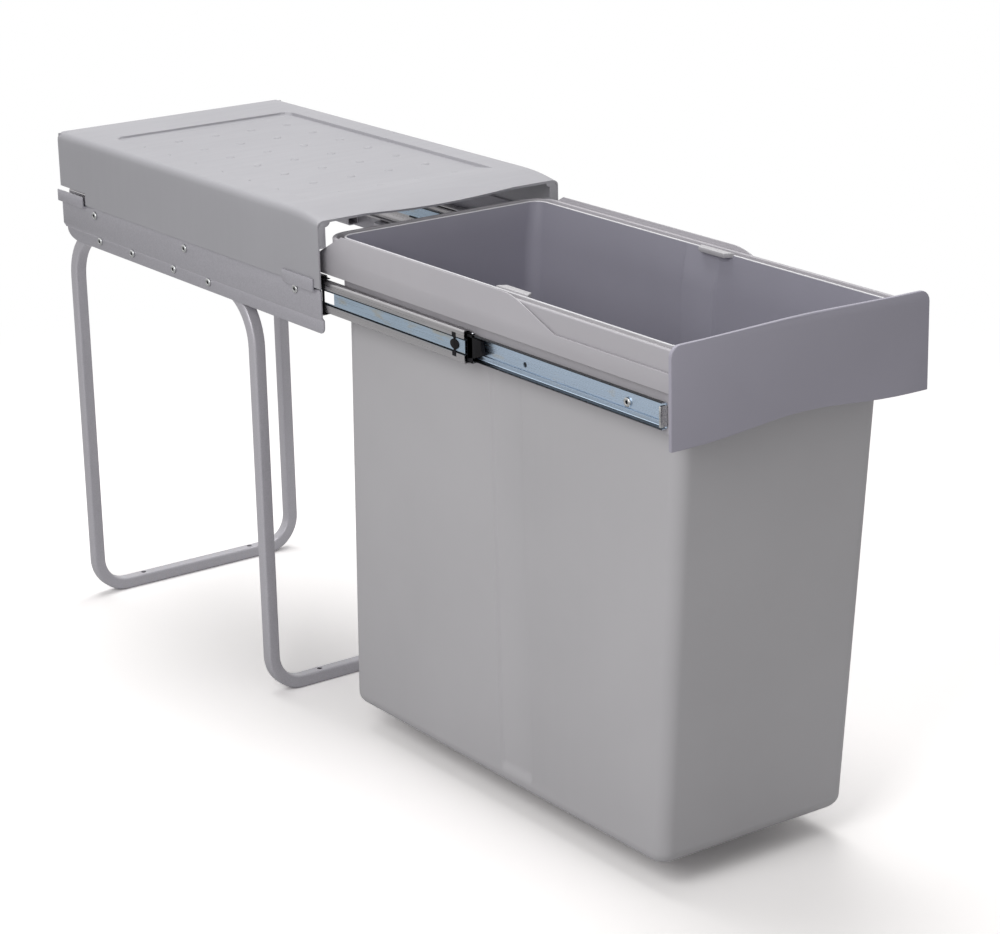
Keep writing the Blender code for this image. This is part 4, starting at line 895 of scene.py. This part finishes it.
def make_balls():
    """Steel balls in their rows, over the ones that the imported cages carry."""
    mesh = bmesh.new()
    bmesh.ops.create_icosphere(mesh, subdivisions=BALL_FACETS, radius=BALL_RADIUS)
    pattern = object_of("ball pattern", mesh, [BALL_STEEL])
    for side in SIDES:
        x = side * (SLIDE_BACK - BALL_DEPTH)
        for cage, row, front, length in CAGES:
            step = (length - 2 * BALL_MARGIN) / (BALLS_IN_ROW - 1)
            places = [
                ((x, front + BALL_MARGIN + i * step, SLIDE_LINE + sign * row), (side, 0, 0))
                for sign in SIDES
                for i in range(BALLS_IN_ROW)
            ]
            name = f"{cage}_balls_{side_word(side)}"
            balls = repeated(name, places, pattern, BALL_STEEL, BALL_STEEL, BALL_SEED)
            seated(balls, f"{cage}_cage_{side_word(side)}_body", [])
    bpy.data.objects.remove(pattern, do_unlink=True)


# Legs


def bend(corner, arriving, leaving, radius):
    """Points of a round bend at a corner between two directions."""
    centre = corner - arriving * radius + leaving * radius
    turns = [math.pi / 2 * i / BEND_STEPS for i in range(BEND_STEPS + 1)]
    return [
        centre - leaving * radius * math.cos(t) + arriving * radius * math.sin(t) for t in turns
    ]


def hoop_line(place, direction):
    """Centre line of a leg hoop, from one end of its top runs to the other."""
    x, foot = TUBE_CENTRE, TUBE / 2
    along, down, across_x = Vector((0, direction, 0)), Vector((0, 0, -1)), Vector((1, 0, 0))
    corners = [Vector((-x, place, RUN_LINE)), Vector((-x, place, foot))]
    corners += [Vector((x, place, foot)), Vector((x, place, RUN_LINE))]
    line = [corners[0] + along * RUN_LENGTH]
    line += bend(corners[0], -along, down, TOP_BEND)
    line += bend(corners[1], down, across_x, FOOT_BEND)
    line += bend(corners[2], across_x, -down, FOOT_BEND)
    line += bend(corners[3], -down, along, TOP_BEND)
    return line + [corners[3] + along * RUN_LENGTH]


def make_hoops():
    sweep = tube_tree()
    sizes = {"Side": TUBE, "Corner radius": TUBE_CORNER, "Finish": LEG_PAINT_LIT}
    for word, place, direction in HOOPS:
        name = f"leg_tube_{word}"
        line = hoop_line(place, direction)
        curve = bpy.data.curves.new(name, "CURVE")
        curve.dimensions = "3D"
        curve.twist_mode = "MINIMUM"
        spline = curve.splines.new("POLY")
        spline.points.add(len(line) - 1)
        for point, where in zip(spline.points, line):
            point.co = (*where, 1)
        tube = walled(grown(linked(name, curve), sweep, sizes), TUBE_WALL)
        holes = []
        for side in SIDES:
            x = side * FOOT_HOLE_PLACE
            holes.append(round_hole(FOOT_HOLE_RADIUS, (x, place, -TUBE), (x, place, 2 * TUBE)))
            near, far = side * TUBE_CENTRE, side * (TUBE_CENTRE + TUBE)
            for y in LEG_SCREW_PLACES:
                if 0 < (y - place) * direction < RUN_LENGTH:
                    ends = ((near, y, RUN_LINE), (far, y, RUN_LINE))
                    holes.append(round_hole(RUN_HOLE_RADIUS, *ends))
        tube = carved(tube, holes)
        seated(tube, "frame", [f"leg_hoop_{word}"])


# Cover


def roof_recess(x, y):
    """How deep the roof's recess is at a place: a flat tray with round corners and short
    walls, which fades out towards the front and has a fine bead just before its rear wall."""
    reach_x = abs(x) - (TRAY_HALF - TRAY_RADIUS)
    middle, half = (TRAY_REAR + TRAY_FRONT) / 2, (TRAY_REAR - TRAY_FRONT) / 2
    reach_y = abs(y - middle) - (half - TRAY_RADIUS)
    outside = math.hypot(max(reach_x, 0), max(reach_y, 0)) + min(max(reach_x, reach_y), 0)
    distance = TRAY_RADIUS - outside
    depth = RECESS_DEPTH * smooth(distance / TRAY_WALL + 0.5)
    depth *= smooth((y - TRAY_FRONT) / TRAY_FADE)
    past = (y - TRAY_REAR + 2 * TRAY_BEAD) / TRAY_BEAD
    if abs(x) < TRAY_HALF and abs(past) < 1:
        depth -= TRAY_BEAD_RISE * (1 + math.cos(math.pi * past)) / 2
    return max(depth, 0.0)


def scoop_run(x):
    """How far back the finger scoop reaches at an X."""
    share = abs(x) / SCOOP_HALF
    return SCOOP_RUN * math.cos(math.pi / 2 * share) if share < 1 else 0.0


def roof_drop(x, y):
    """How far the roof lies under its highest level."""
    drop = roof_recess(x, y)
    if y < FRONT_FALL_RUN:
        drop += FRONT_FALL * (1 - y / FRONT_FALL_RUN) ** 2
    return drop + SCOOP_FALL * max(scoop_run(x) - y, 0) / SCOOP_RUN


def cover_point(x, z, row):
    """A point of the cover's skin on one of its rows, which bend round the finger scoop."""
    start = scoop_run(x)
    kind, share = row
    if kind == "scoop":
        y = start * share
    elif kind == "fall":
        y = start + (FRONT_FALL_RUN - start) * share
    else:
        y = share
    weight = max(0.0, (z - COVER_HIGH.z + COVER_BLEND) / COVER_BLEND)
    return Vector((x, y, z - weight * roof_drop(x, y)))


def make_cover():
    top, half = COVER_HIGH.z, COVER_HIGH.x
    flat = half - COVER_ROUND
    corner = arc((flat, top - COVER_ROUND), COVER_ROUND, 0, 90, ROUND_STEPS)
    columns = [(x * MM, top) for x in ROOF_COLUMNS]
    right = [(half, COVER_SIDE_BOTTOM), (half, top - COVER_BLEND)] + corner + columns
    path = right + [(0.0, top)] + [(-x, z) for x, z in reversed(right)]
    rows = [("scoop", share) for share in SCOOP_ROWS] + [("fall", share) for share in FALL_ROWS]
    rows += [("level", y * MM) for y in ROOF_ROWS]
    grid = []
    mesh = bmesh.new()
    for row in rows:
        line = [cover_point(x, z, row) for x, z in path]
        if row[0] == "level" and row[1] > NOTCH_START:
            line[0].z = line[-1].z = NOTCH_TOP
        grid.append([mesh.verts.new(point) for point in line])
    for near, far in zip(grid, grid[1:]):
        for i in range(len(path) - 1):
            mesh.faces.new((near[i], far[i], far[i + 1], near[i + 1]))
    made = walled(object_of("cover_shell", mesh, [COVER_SHADED]), COVER_WALL)
    name, mesh, finishes = reopened(settled(made))
    outer, inner = half - COVER_WALL / 2, half - FLANGE_DEPTH
    lip = rectangle(-outer, outer, top - REAR_LIP, top - COVER_WALL / 2)
    add_slab(mesh, lip, REAR_LIP_PLACE, REAR_LIP_PLACE + COVER_WALL, lengthways, 0)
    level = top - FRONT_FALL - COVER_WALL / 2
    edge = arc((outer - COVER_ROUND, level - COVER_ROUND), COVER_ROUND, 0, 90, ROUND_STEPS)
    bead = arc((inner, level), BEAD_RADIUS, 180, 270, ROUND_STEPS)
    ends = (FLANGE_SETBACK, FLANGE_SETBACK + FLANGE_WALL)
    for side in SIDES:
        outline = on_side(side, [(outer, FLANGE_BOTTOM), *edge, *bead, (inner, FLANGE_BOTTOM)])
        add_slab(mesh, outline, *ends, lengthways, BAND_EDGE)
    seated(object_of(name, mesh, finishes), "frame", ["cover"])
    studs = grown(points_object("cover_studs", [((0, 0, 0), (0, 0, 1))]), stud_tree(), {
        "Columns": STUD_COLUMNS, "Width": (STUD_COLUMNS - 1) * STUD_PITCH,
        "Rows": STUD_ROWS, "Length": (STUD_ROWS - 1) * STUD_ROW_PITCH,
        "Stud radius": STUD_RADIUS, "Rise share": STUD_RISE / STUD_RADIUS,
        "Middle": (*STUD_MIDDLE, top - RECESS_DEPTH), "Finish": COVER_SHADED,
    })
    seated(studs, "frame", [])


# Brackets


def make_bracket(side):
    """The side bracket: a plate, a joggle, a flange set in under it and two hooked tabs."""
    mesh = bmesh.new()
    rear, front, tab, sheet = BRACKET_REAR, BRACKET_FRONT, TAB_EDGE_LEVEL, BRACKET_SHEET
    (_, near_end), (far_start, _) = TAB_RANGES
    plate = [(front, JOGGLE_TOP), (rear, JOGGLE_TOP), (rear, tab), (far_start, tab)]
    plate += [(far_start, BRACKET_TOP), (near_end, BRACKET_TOP), (near_end, tab), (front, tab)]
    faces = (side * (BRACKET_FACE - sheet), side * BRACKET_FACE)
    add_slab(mesh, plate, *faces, across, SHEET_EDGE)
    outer, inner = BRACKET_FACE - sheet / 2, FLANGE_FACE - sheet / 2
    joggle = [(outer, JOGGLE_TOP + sheet / 2), (outer, JOGGLE_TOP)]
    joggle += [(inner, JOGGLE_BOTTOM), (inner, JOGGLE_BOTTOM - sheet / 2)]
    joggle = on_side(side, strip(joggle, sheet - SHEET_EDGE / 2))
    add_slab(mesh, joggle, front + SHEET_EDGE, rear - SHEET_EDGE, lengthways, 0)
    centre = (front + FLANGE_ROUND, FLANGE_LOW + FLANGE_ROUND)
    flange = arc(centre, FLANGE_ROUND, 180, 270, ROUND_STEPS)
    end, (run, rise) = rear - FLANGE_END, FLANGE_SWEEP
    sweep = arc((0, 1), 1, 270, 360, ROUND_STEPS)
    flange += [(end + share * run, FLANGE_LOW + up * rise) for share, up in sweep]
    flange += [(end + run, JOGGLE_BOTTOM), (front, JOGGLE_BOTTOM)]
    faces = (side * (FLANGE_FACE - sheet), side * FLANGE_FACE)
    add_slab(mesh, flange, *faces, across, SHEET_EDGE)
    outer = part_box("bracket_right")[1].x
    hook = [(BRACKET_FACE - sheet, tab - sheet), (outer, tab - sheet), (outer, TAB_HIGH)]
    hook += [(outer - sheet, TAB_HIGH), (outer - sheet, tab), (BRACKET_FACE - sheet, tab)]
    for start, end in TAB_RANGES:
        add_slab(mesh, on_side(side, hook), start, end, lengthways, SHEET_EDGE)
    word = side_word(side)
    made = object_of(f"bracket_plate_{word}", mesh, [FRAME_PAINT])
    seated(made, "frame", [f"bracket_{word}"])


# Slides


def slide_outline(side, outline):
    """An outline of depths from the slide's back and heights over its middle line, in place."""
    return [(side * (SLIDE_BACK - depth), SLIDE_LINE + height) for depth, height in outline]


def mirrored(half_path):
    return half_path + [(depth, -height) for depth, height in reversed(half_path)]


def make_middle(side):
    """The middle member: folded ball tracks, broad lips, a web with a narrow groove above and
    below it, painted near black as shade, and a window at the rear."""
    race = arc((BALL_DEPTH, INNER_ROW), RACE_STEP, 10, 90, ROUND_STEPS)
    heel = arc((LIP_DEPTH + HEEL, INNER_ROW + RACE_STEP - HEEL), HEEL, 90, 180, HEEL_STEPS)
    path = mirrored(race + heel + [(d * MM, h * MM) for d, h in MIDDLE_FOLDS])
    mesh = bmesh.new()
    outline = slide_outline(side, strip(path, MOVING_SHEET))
    node = f"slide_middle_{side_word(side)}"
    low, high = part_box(node)
    add_slab(mesh, outline, low.y, high.y, lengthways, 0)
    # Faces in the narrow grooves take the near-black finish: painted shade.
    for face in mesh.faces:
        off = abs(face.calc_center_median().z - SLIDE_LINE)
        face.material_index = int(GROOVE_SHADE_BAND[0] < off < GROOVE_SHADE_BAND[1])
    made = object_of(f"slide_middle_rail_{side_word(side)}", mesh, [ZINC, TRACK_SHADE])
    window = bmesh.new()
    depths = (side * (SLIDE_BACK + BALL_DEPTH), side * (SLIDE_BACK - BALL_DEPTH))
    opening = rectangle(*WINDOW, SLIDE_LINE - WINDOW_HALF, SLIDE_LINE + WINDOW_HALF)
    add_slab(window, opening, *depths, across, 0)
    made = carved(made, [window])
    seated(made, f"slide_middle_{side_word(side)}_body", [node])


def make_inner(side):
    """The inner member: ball tracks painted near black as shade, a blue web with a rolled rib
    near its lower edge, a spare hole closed behind by a dark disc of painted shade and a folded
    end tab."""
    race = arc((BALL_DEPTH, INNER_ROW), RACE_STEP, 230, 270, HEEL_STEPS)
    bottom = INNER_ROW - RACE_STEP
    heel = arc((INNER_WEB - HEEL, bottom - HEEL), HEEL, 90, 0, HEEL_STEPS)
    path = mirrored(race + heel)
    middle = len(race + heel)
    path[middle:middle] = [(d * MM, h * MM) for d, h in INNER_RIB]
    outline = slide_outline(side, strip(path, MOVING_SHEET))
    word = side_word(side)
    node = f"slide_inner_{word}"
    low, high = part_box(node)
    mesh = bmesh.new()
    add_slab(mesh, outline, low.y + MOVING_SHEET, high.y, lengthways, 0)
    # Faces of the ball tracks take the near-black finish: painted shade.
    for face in mesh.faces:
        off = abs(face.calc_center_median().z - SLIDE_LINE)
        if off > bottom - MOVING_SHEET and abs(face.normal.y) < END_FACE:
            face.material_index = 1
    made = object_of(f"slide_inner_rail_{word}", mesh, [ZINC_BLUE, TRACK_SHADE, SCREW_STEEL])
    near, far = side * (SLIDE_BACK - INNER_WEB - HEEL), side * SLIDE_BACK
    place, radius = SPARE_HOLE
    hole = round_hole(radius, (near, place, SLIDE_LINE), (far, place, SLIDE_LINE))
    name, mesh, finishes = reopened(carved(made, [hole]))
    back = side * (SLIDE_BACK - INNER_WEB - MOVING_SHEET / 2)
    tab = rectangle(
        back, side * (SLIDE_BACK - END_TAB_FRONT), low.y, low.y + END_TAB_THICKNESS
    )
    heights = (SLIDE_LINE - END_TAB_HALF, SLIDE_LINE + END_TAB_HALF)
    add_slab(mesh, tab, *heights, upright, END_TAB_ROUND, finish=2)
    # A dark disc in the web behind the spare hole: painted shade seen through the hole.
    ring = circle((place, SLIDE_LINE), radius + HOLE_SHADE_OVERLAP)
    add_slab(mesh, ring, back, back + side * HOLE_SHADE_THICKNESS, across, 0, finish=1)
    seated(object_of(name, mesh, finishes), "carriage", [node])


def make_inner_cage(side):
    """The inner ball cage: two strips that hold the balls, bars across them and a stop
    block whose lower edge slants up to a point."""
    word = side_word(side)
    node = f"ball_cage_inner_{word}"
    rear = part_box(node)[1].y
    mesh = bmesh.new()
    depths = [side * (SLIDE_BACK - depth) for depth in CAGE_DEPTHS]
    high, low = INNER_ROW + CAGE_STRIP / 2, INNER_ROW - CAGE_STRIP / 2
    for sign in SIDES:
        heights = sorted((SLIDE_LINE + sign * low, SLIDE_LINE + sign * high))
        strip_outline = rectangle(*sorted((depths[0], depths[2])), *heights)
        add_slab(mesh, strip_outline, CAGE_FRONT, rear, lengthways, 0)
    bar = rectangle(*sorted((depths[0], depths[1])), SLIDE_LINE - high, SLIDE_LINE + high)
    for start, end in ((CAGE_FRONT, CAGE_FRONT + 2 * CAGE_BAR), (rear - CAGE_BAR, rear)):
        add_slab(mesh, bar, start, end, lengthways, 0)
    block = [(y * MM, SLIDE_LINE + h * MM) for y, h in BLOCK_OUTLINE]
    add_slab(mesh, block, depths[0], depths[3], across, BAND_EDGE)
    made = object_of(f"inner_cage_{word}", mesh, [BLACK])
    seated(made, f"inner_cage_{word}_body", [node])


def make_stop(side):
    """The round stop on the middle member, with a neck and a square foot above and below."""
    mesh = bmesh.new()
    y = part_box(f"slide_middle_{side_word(side)}")[0].y + STOP_SETBACK
    back = side * (SLIDE_BACK - STOP_DEPTH)
    disc = [
        (y + (a - y) * STOP_STRETCH, z) for a, z in circle((y, SLIDE_LINE), STOP_RADIUS)
    ]
    add_slab(mesh, disc, back, back + side * STOP_THICKNESS, across, STOP_ROUND)
    proud = side * (SLIDE_BACK - LIP_DEPTH + MOVING_SHEET / 2 + STOP_PROUD)
    foot, neck = STOP_FOOT_LENGTH / 2, STOP_NECK / 2
    for sign in SIDES:
        top = SLIDE_LINE + sign * STOP_FOOT_HEIGHT
        low = SLIDE_LINE + sign * (STOP_FOOT_HEIGHT - STOP_FOOT)
        outline = [(y - neck, SLIDE_LINE), (y + neck, SLIDE_LINE), (y + neck, low)]
        outline += [(y + foot, low), (y + foot, top), (y - foot, top), (y - foot, low)]
        outline += [(y - neck, low)]
        add_slab(mesh, outline, back, proud, across, 0)
    made = object_of(f"slide_stop_{side_word(side)}", mesh, [BLACK])
    body = f"slide_middle_{side_word(side)}_body"
    seated(made, body, [f"slide_bumper_{side_word(side)}"])


def make_slides():
    for side in SIDES:
        word = side_word(side)
        dressed(f"slide_outer_{word}", f"slide_outer_rail_{word}", ZINC)
        make_middle(side)
        make_inner(side)
        make_stop(side)
        dressed(f"ball_cage_outer_{word}", f"outer_cage_{word}", BLACK)
        make_inner_cage(side)
    make_balls()


# Holder


def rounded_ring(half, front, rear, front_radius, rear_radius, height):
    """A level ring with round corners, anticlockwise from above."""
    corners = (
        (half - front_radius, front + front_radius, front_radius, -90),
        (half - rear_radius, rear - rear_radius, rear_radius, 0),
        (rear_radius - half, rear - rear_radius, rear_radius, 90),
        (front_radius - half, front + front_radius, front_radius, 180),
    )
    ring = []
    for x, y, radius, start in corners:
        ring += arc((x, y), radius, start, start + 90, CORNER_STEPS)
    return [Vector((x, y, height)) for x, y in ring]


def holder_ring(inset, height):
    """A ring of the holder's outer band."""
    radius = max(BAND_CORNER - inset, HOLDER_WALL / 2)
    low, high = HOLDER_LOW.y + inset, HOLDER_HIGH.y - inset
    return rounded_ring(HOLDER_HIGH.x - inset, low, high, radius, radius, height)


def rim_ring(inset, height):
    """A ring of the holder's rim, which follows the bucket's round corners at the rear."""
    whole = RECESS + inset
    radius = max(BAND_CORNER - whole, HOLDER_WALL / 2)
    half, low, high = HOLDER_HIGH.x - whole, HOLDER_LOW.y + whole, RIM_REAR - inset
    return rounded_ring(half, low, high, radius, RIM_REAR_RADIUS - inset, height)


def flank_outline():
    """The flank of the holder from the side: a level ledge that sweeps up into a long wing
    and falls off at the rear, with a short post behind the front panel."""
    front = HOLDER_LOW.y + FRONT_SETBACK
    outline = [(front, BAND_BOTTOM), (WING_REAR, BAND_BOTTOM), (WING_REAR, WING_REAR_HEIGHT)]
    outline += [(WING_CHAMFER_END, WING_TOP)]
    for i in range(SWEEP_STEPS + 1):
        share = i / SWEEP_STEPS
        y = WING_LEVEL_END + share * (WING_SWEEP_END - WING_LEVEL_END)
        bent = min(share, WING_EASE)
        drop = (bent * bent / (2 * WING_EASE) + share - bent) / (1 - WING_EASE / 2)
        outline.append((y, WING_TOP - (WING_TOP - BAND_TOP) * drop))
    outline += [(front + FRONT_POST, BAND_TOP), (front + FRONT_POST, FRONT_POST_TOP)]
    return outline + [(front, FRONT_POST_TOP)]


def make_holder():
    lip, floor = BAND_LIP, BAND_TOP - GROOVE_DEPTH
    edge, rail = BAND_EDGE, RAIL_WIDTH
    flange_top = BAND_BOTTOM + HOLDER_WALL
    outer = arc((RAIL_ROUND, RIM_TOP - RAIL_ROUND), RAIL_ROUND, 180, 90, ROUND_STEPS)
    inner_centre = (rail - RAIL_INNER_ROUND, RIM_TOP - RAIL_INNER_ROUND)
    inner = arc(inner_centre, RAIL_INNER_ROUND, 90, 0, RAIL_INNER_STEPS)
    rings = [
        holder_ring(BAND_SETBACK + edge, BAND_BOTTOM),
        holder_ring(BAND_SETBACK, BAND_BOTTOM + edge),
        holder_ring(BAND_SETBACK, BAND_TOP - edge),
        holder_ring(BAND_SETBACK + edge, BAND_TOP),
        holder_ring(lip, BAND_TOP),
        holder_ring(lip, floor),
        rim_ring(0, floor),
        *[rim_ring(inset, height) for inset, height in outer + inner],
        rim_ring(rail, SHELF_TOP),
        rim_ring(SHELF_REACH, SHELF_TOP),
        rim_ring(SHELF_REACH, SHELF_TOP - HOLDER_WALL),
        rim_ring(HOLDER_WALL, SHELF_TOP - HOLDER_WALL),
        rim_ring(HOLDER_WALL, floor - HOLDER_WALL),
        holder_ring(HOLDER_WALL, floor - HOLDER_WALL),
        holder_ring(HOLDER_WALL, flange_top),
        rim_ring(FLANGE_REACH, flange_top),
        rim_ring(FLANGE_REACH, BAND_BOTTOM),
    ]
    mesh = ring_loft(rings, closed=True)
    bottom, top = HOLDER_LOW.z, flange_top - edge
    front = HOLDER_LOW.y + FRONT_SETBACK
    half = HOLDER_HIGH.x - HOLDER_WALL
    for side in SIDES:
        ends = (side * (HOLDER_HIGH.x - lip), side * HOLDER_HIGH.x)
        add_slab(mesh, flank_outline(), *ends, across, FLANK_EDGE)
        ends = (side * (SIDE_FACE - HOLDER_WALL), side * SIDE_FACE)
        add_slab(mesh, rectangle(front, SIDE_REAR, bottom, top), *ends, across, edge)
    wall = rectangle(-half, half, front, front + HOLDER_WALL)
    add_slab(mesh, wall, bottom, top, upright, edge)
    made = object_of("holder_frame", mesh, [HOLDER])
    seated(made, "carriage", ["holder"])


# Bucket


def bucket_ring(half, front, rear, radius, height, dip=0.0):
    """A ring of the bucket, whose long sides dip inwards in the middle stretch."""
    low, high = CHANNEL
    steps = [i / FADE_STEPS for i in range(FADE_STEPS + 1)]
    side = [(low + CHANNEL_FLANK * s, half - dip * smooth(s)) for s in steps]
    side += [(high - CHANNEL_FLANK * (1 - s), half - dip * smooth(1 - s)) for s in steps]
    ring = arc((half - radius, front + radius), radius, -90, 0, CORNER_STEPS)
    ring += [(x, y) for y, x in side]
    ring += arc((half - radius, rear - radius), radius, 0, 90, CORNER_STEPS)
    ring += arc((radius - half, rear - radius), radius, 90, 180, CORNER_STEPS)
    ring += [(-x, y) for y, x in reversed(side)]
    ring += arc((radius - half, front + radius), radius, 180, 270, CORNER_STEPS)
    return [Vector((x, y, height)) for x, y in ring]


def wall_ring(height, inset, dip=0.0):
    """A ring of the tapered wall. Its front and sides taper in and its rear leans out."""
    share = (height - FOOT_LEVEL) / (SHOULDER - FOOT_LEVEL)
    half = MOUTH_HALF - SHOULDER_STEP - SIDE_TAPER * (1 - share) - inset
    front = FOOT_FRONT + share * (BODY_FRONT - FOOT_FRONT) + inset
    rear = MOUTH_REAR + (1 - share) * REAR_LEAN - inset
    return bucket_ring(half, front, rear, BUCKET_CORNER - inset / 2, height, dip)


def mouth_ring(height, stand_off):
    """A ring of the upright mouth, standing off from its outer face."""
    half, front = MOUTH_HALF + stand_off, MOUTH_FRONT - stand_off
    rear, radius = MOUTH_REAR + stand_off, BUCKET_CORNER + stand_off
    return bucket_ring(half, front, rear, radius, height)


def between(low, high, share):
    """Ring points part of the way from one ring to another."""
    return [a.lerp(b, share) for a, b in zip(low, high)]


def channel_rings(inset):
    """Wall rings from below the channel to above it, with its ends faded in."""
    shares = [i / FADE_STEPS for i in range(FADE_STEPS + 1)]
    up = [(CHANNEL_BOTTOM + CHANNEL_FADE * s, s) for s in shares]
    down = [(CHANNEL_TOP - CHANNEL_FADE * (1 - s), 1 - s) for s in shares]
    return [wall_ring(height, inset, CHANNEL_DEPTH * smooth(s)) for height, s in up + down]


def foot_rings(radius, inset, level):
    """Rings round the bottom edge, from under the foot up to the wall."""
    rings = []
    for i in range(ROUND_STEPS + 1):
        turn = math.pi / 2 * i / ROUND_STEPS
        in_by, up_by = radius * (1 - math.sin(turn)), radius * (1 - math.cos(turn))
        rings.append(wall_ring(level + up_by, inset + in_by))
    return rings


def make_bucket():
    shoulder_top = SHOULDER + SHOULDER_HEIGHT
    shares = [i / FADE_STEPS for i in range(1, FADE_STEPS)]
    low, high = wall_ring(SHOULDER, 0), mouth_ring(shoulder_top, 0)
    shoulder = [wall_ring(SHOULDER - SHOULDER_HEIGHT / 2, 0), low]
    for share in shares:
        ring = between(low, high, smooth(share))
        height = SHOULDER + SHOULDER_HEIGHT * share
        shoulder.append([Vector((p.x, p.y, height)) for p in ring])
    shoulder += [high, mouth_ring(shoulder_top + SHOULDER_HEIGHT / 2, 0)]
    roll = WALL / 2
    rim = [mouth_ring(h, off) for off, h in arc((-roll, RIM_TOP - roll), roll, 0, 180, RIM_STEPS)]
    lip = [
        mouth_ring(LIP_BOTTOM, 0),
        mouth_ring(LIP_BOTTOM, LIP_REACH),
        mouth_ring(LIP_TOP - LIP_EDGE, LIP_REACH),
        mouth_ring(LIP_TOP, LIP_REACH - LIP_EDGE),
        mouth_ring(LIP_TOP, 0),
    ]
    outside = foot_rings(FOOT_RADIUS, 0, FOOT_LEVEL) + channel_rings(0) + shoulder + lip + rim
    body = wall_ring(INNER_BLEND_END, WALL, CHANNEL_DEPTH)
    share = (RIM_TOP - roll - INNER_STEP_LEVEL) / (RIM_TOP - roll - INNER_BLEND_END)
    inside = [between(rim[-1], body, share), between(rim[-1], body, share + INNER_STEP)]
    inside += [body] + channel_rings(WALL)[FADE_STEPS::-1]
    inside += foot_rings(FOOT_RADIUS - WALL, WALL, FOOT_LEVEL + WALL)[::-1]
    # Faces inside the bucket take its darker copy of the plastic: painted shade.
    mesh = ring_loft(outside + inside, inner_from=len(outside) - 2)
    # Faces along the top of the rim take its pale copy of the plastic: a painted highlight.
    for face in mesh.faces:
        if face.calc_center_median().z > RIM_TOP - roll / 2:
            face.material_index = 2
    front, rear = TAB_PLACE
    outer, inner = MOUTH_HALF - WALL / 2, MOUTH_HALF - WALL - TAB_REACH
    tab = [(outer, front), (inner, front + TAB_SLOPE), (inner, rear - TAB_SLOPE), (outer, rear)]
    for side in SIDES:
        add_slab(mesh, on_side(side, tab), TAB_TOP - TAB_THICKNESS, TAB_TOP, upright, TAB_EDGE)
    made = object_of("bucket_shell", mesh, [BUCKET, BUCKET_SHADED_INSIDE, RIM_HIGHLIGHT])
    seated(made, "carriage", ["bucket"])


# Stage


def make_floor():
    """A pale floor that keeps the object's shadow and fades into the white around it. The
    camera sees its board brighter than the light does, so that it is white in the open."""
    mesh = bmesh.new()
    bmesh.ops.create_grid(mesh, x_segments=FLOOR_CELLS, y_segments=FLOOR_CELLS, size=FLOOR_HALF)
    made, tree, place = new_material("floor, matt white board")
    seen = add(tree, "ShaderNodeLightPath").outputs["Is Camera Ray"]
    shade = add(tree, "ShaderNodeMix", {6: linear(FLOOR_COLOUR), 7: FLOOR_SEEN}, {0: seen},
                data_type="RGBA", clamp_result=False)
    board = add(tree, "ShaderNodeBsdfDiffuse", links={"Color": shade.outputs[2]})
    clear = add(tree, "ShaderNodeEmission", {"Color": (1, 1, 1, 1), "Strength": 1.0})
    middle = add(tree, "ShaderNodeVectorMath", links={0: place}, operation="LENGTH")
    fade = add(tree, "ShaderNodeMapRange",
               {"From Min": FLOOR_FADE[0], "From Max": FLOOR_FADE[1]},
               {"Value": middle.outputs["Value"]}, interpolation_type="SMOOTHSTEP")
    both = add(tree, "ShaderNodeMath", links={0: fade, 1: seen}, operation="MULTIPLY")
    shown = add(tree, "ShaderNodeMixShader", links={"Fac": both, 1: board, 2: clear})
    add(tree, "ShaderNodeOutputMaterial", links={"Surface": shown})
    object_of("floor", mesh, [made])


def make_world():
    """A white studio that lights the object less than the camera and reflections see it."""
    world = bpy.data.worlds.new("studio")
    bpy.context.scene.world = world
    world.use_nodes = True
    tree = world.node_tree
    tree.nodes.clear()
    path = add(tree, "ShaderNodeLightPath").outputs
    seen = path["Is Camera Ray"]
    for ray in ("Is Glossy Ray", "Is Transmission Ray"):
        seen = add(tree, "ShaderNodeMath", links={0: seen, 1: path[ray]}, operation="MAXIMUM")
    level = add(tree, "ShaderNodeMapRange", {"To Min": WORLD_LEVEL, "To Max": 1.0},
                {"Value": seen})
    sky = add(tree, "ShaderNodeBackground", {"Color": (1, 1, 1, 1)}, {"Strength": level})
    add(tree, "ShaderNodeOutputWorld", links={"Surface": sky})


def make_lamp(name, place, target, size, power):
    light = bpy.data.lights.new(name, "AREA")
    light.shape = "SQUARE"
    light.size = size
    light.energy = power
    lamp = linked(name, light)
    lamp.location = place
    lamp.rotation_euler = (Vector(target) - Vector(place)).to_track_quat("-Z", "Y").to_euler()


def make_camera():
    """The camera at the photograph's place, worked out from the object's known sizes."""
    azimuth, elevation, roll = (math.radians(a) for a in CAMERA_ANGLES)
    level = math.cos(elevation)
    back = (math.sin(azimuth) * level, -math.cos(azimuth) * level, math.sin(elevation))
    data = bpy.data.cameras.new("camera")
    data.sensor_width = SENSOR_WIDTH
    data.lens = CAMERA_FOCAL_SHARE * SENSOR_WIDTH
    data.clip_end = CAMERA_REACH
    camera = linked("camera", data)
    turn = (-Vector(back)).to_track_quat("-Z", "Y").to_matrix()
    turn = turn @ Matrix.Rotation(roll, 3, "Z")
    camera.matrix_world = Matrix.Translation(CAMERA_PLACE) @ turn.to_4x4()
    bpy.context.scene.camera = camera


def main():
    make_cover()
    for side in SIDES:
        make_bracket(side)
    make_hoops()
    make_slides()
    make_screws()
    make_holder()
    dressed("front_panel", "door_panel", PANEL_SHADED)
    make_bucket()
    make_floor()
    make_world()
    for lamp in LAMPS:
        make_lamp(*lamp)
    make_camera()
    bpy.context.scene.view_settings.view_transform = "Standard"


main()
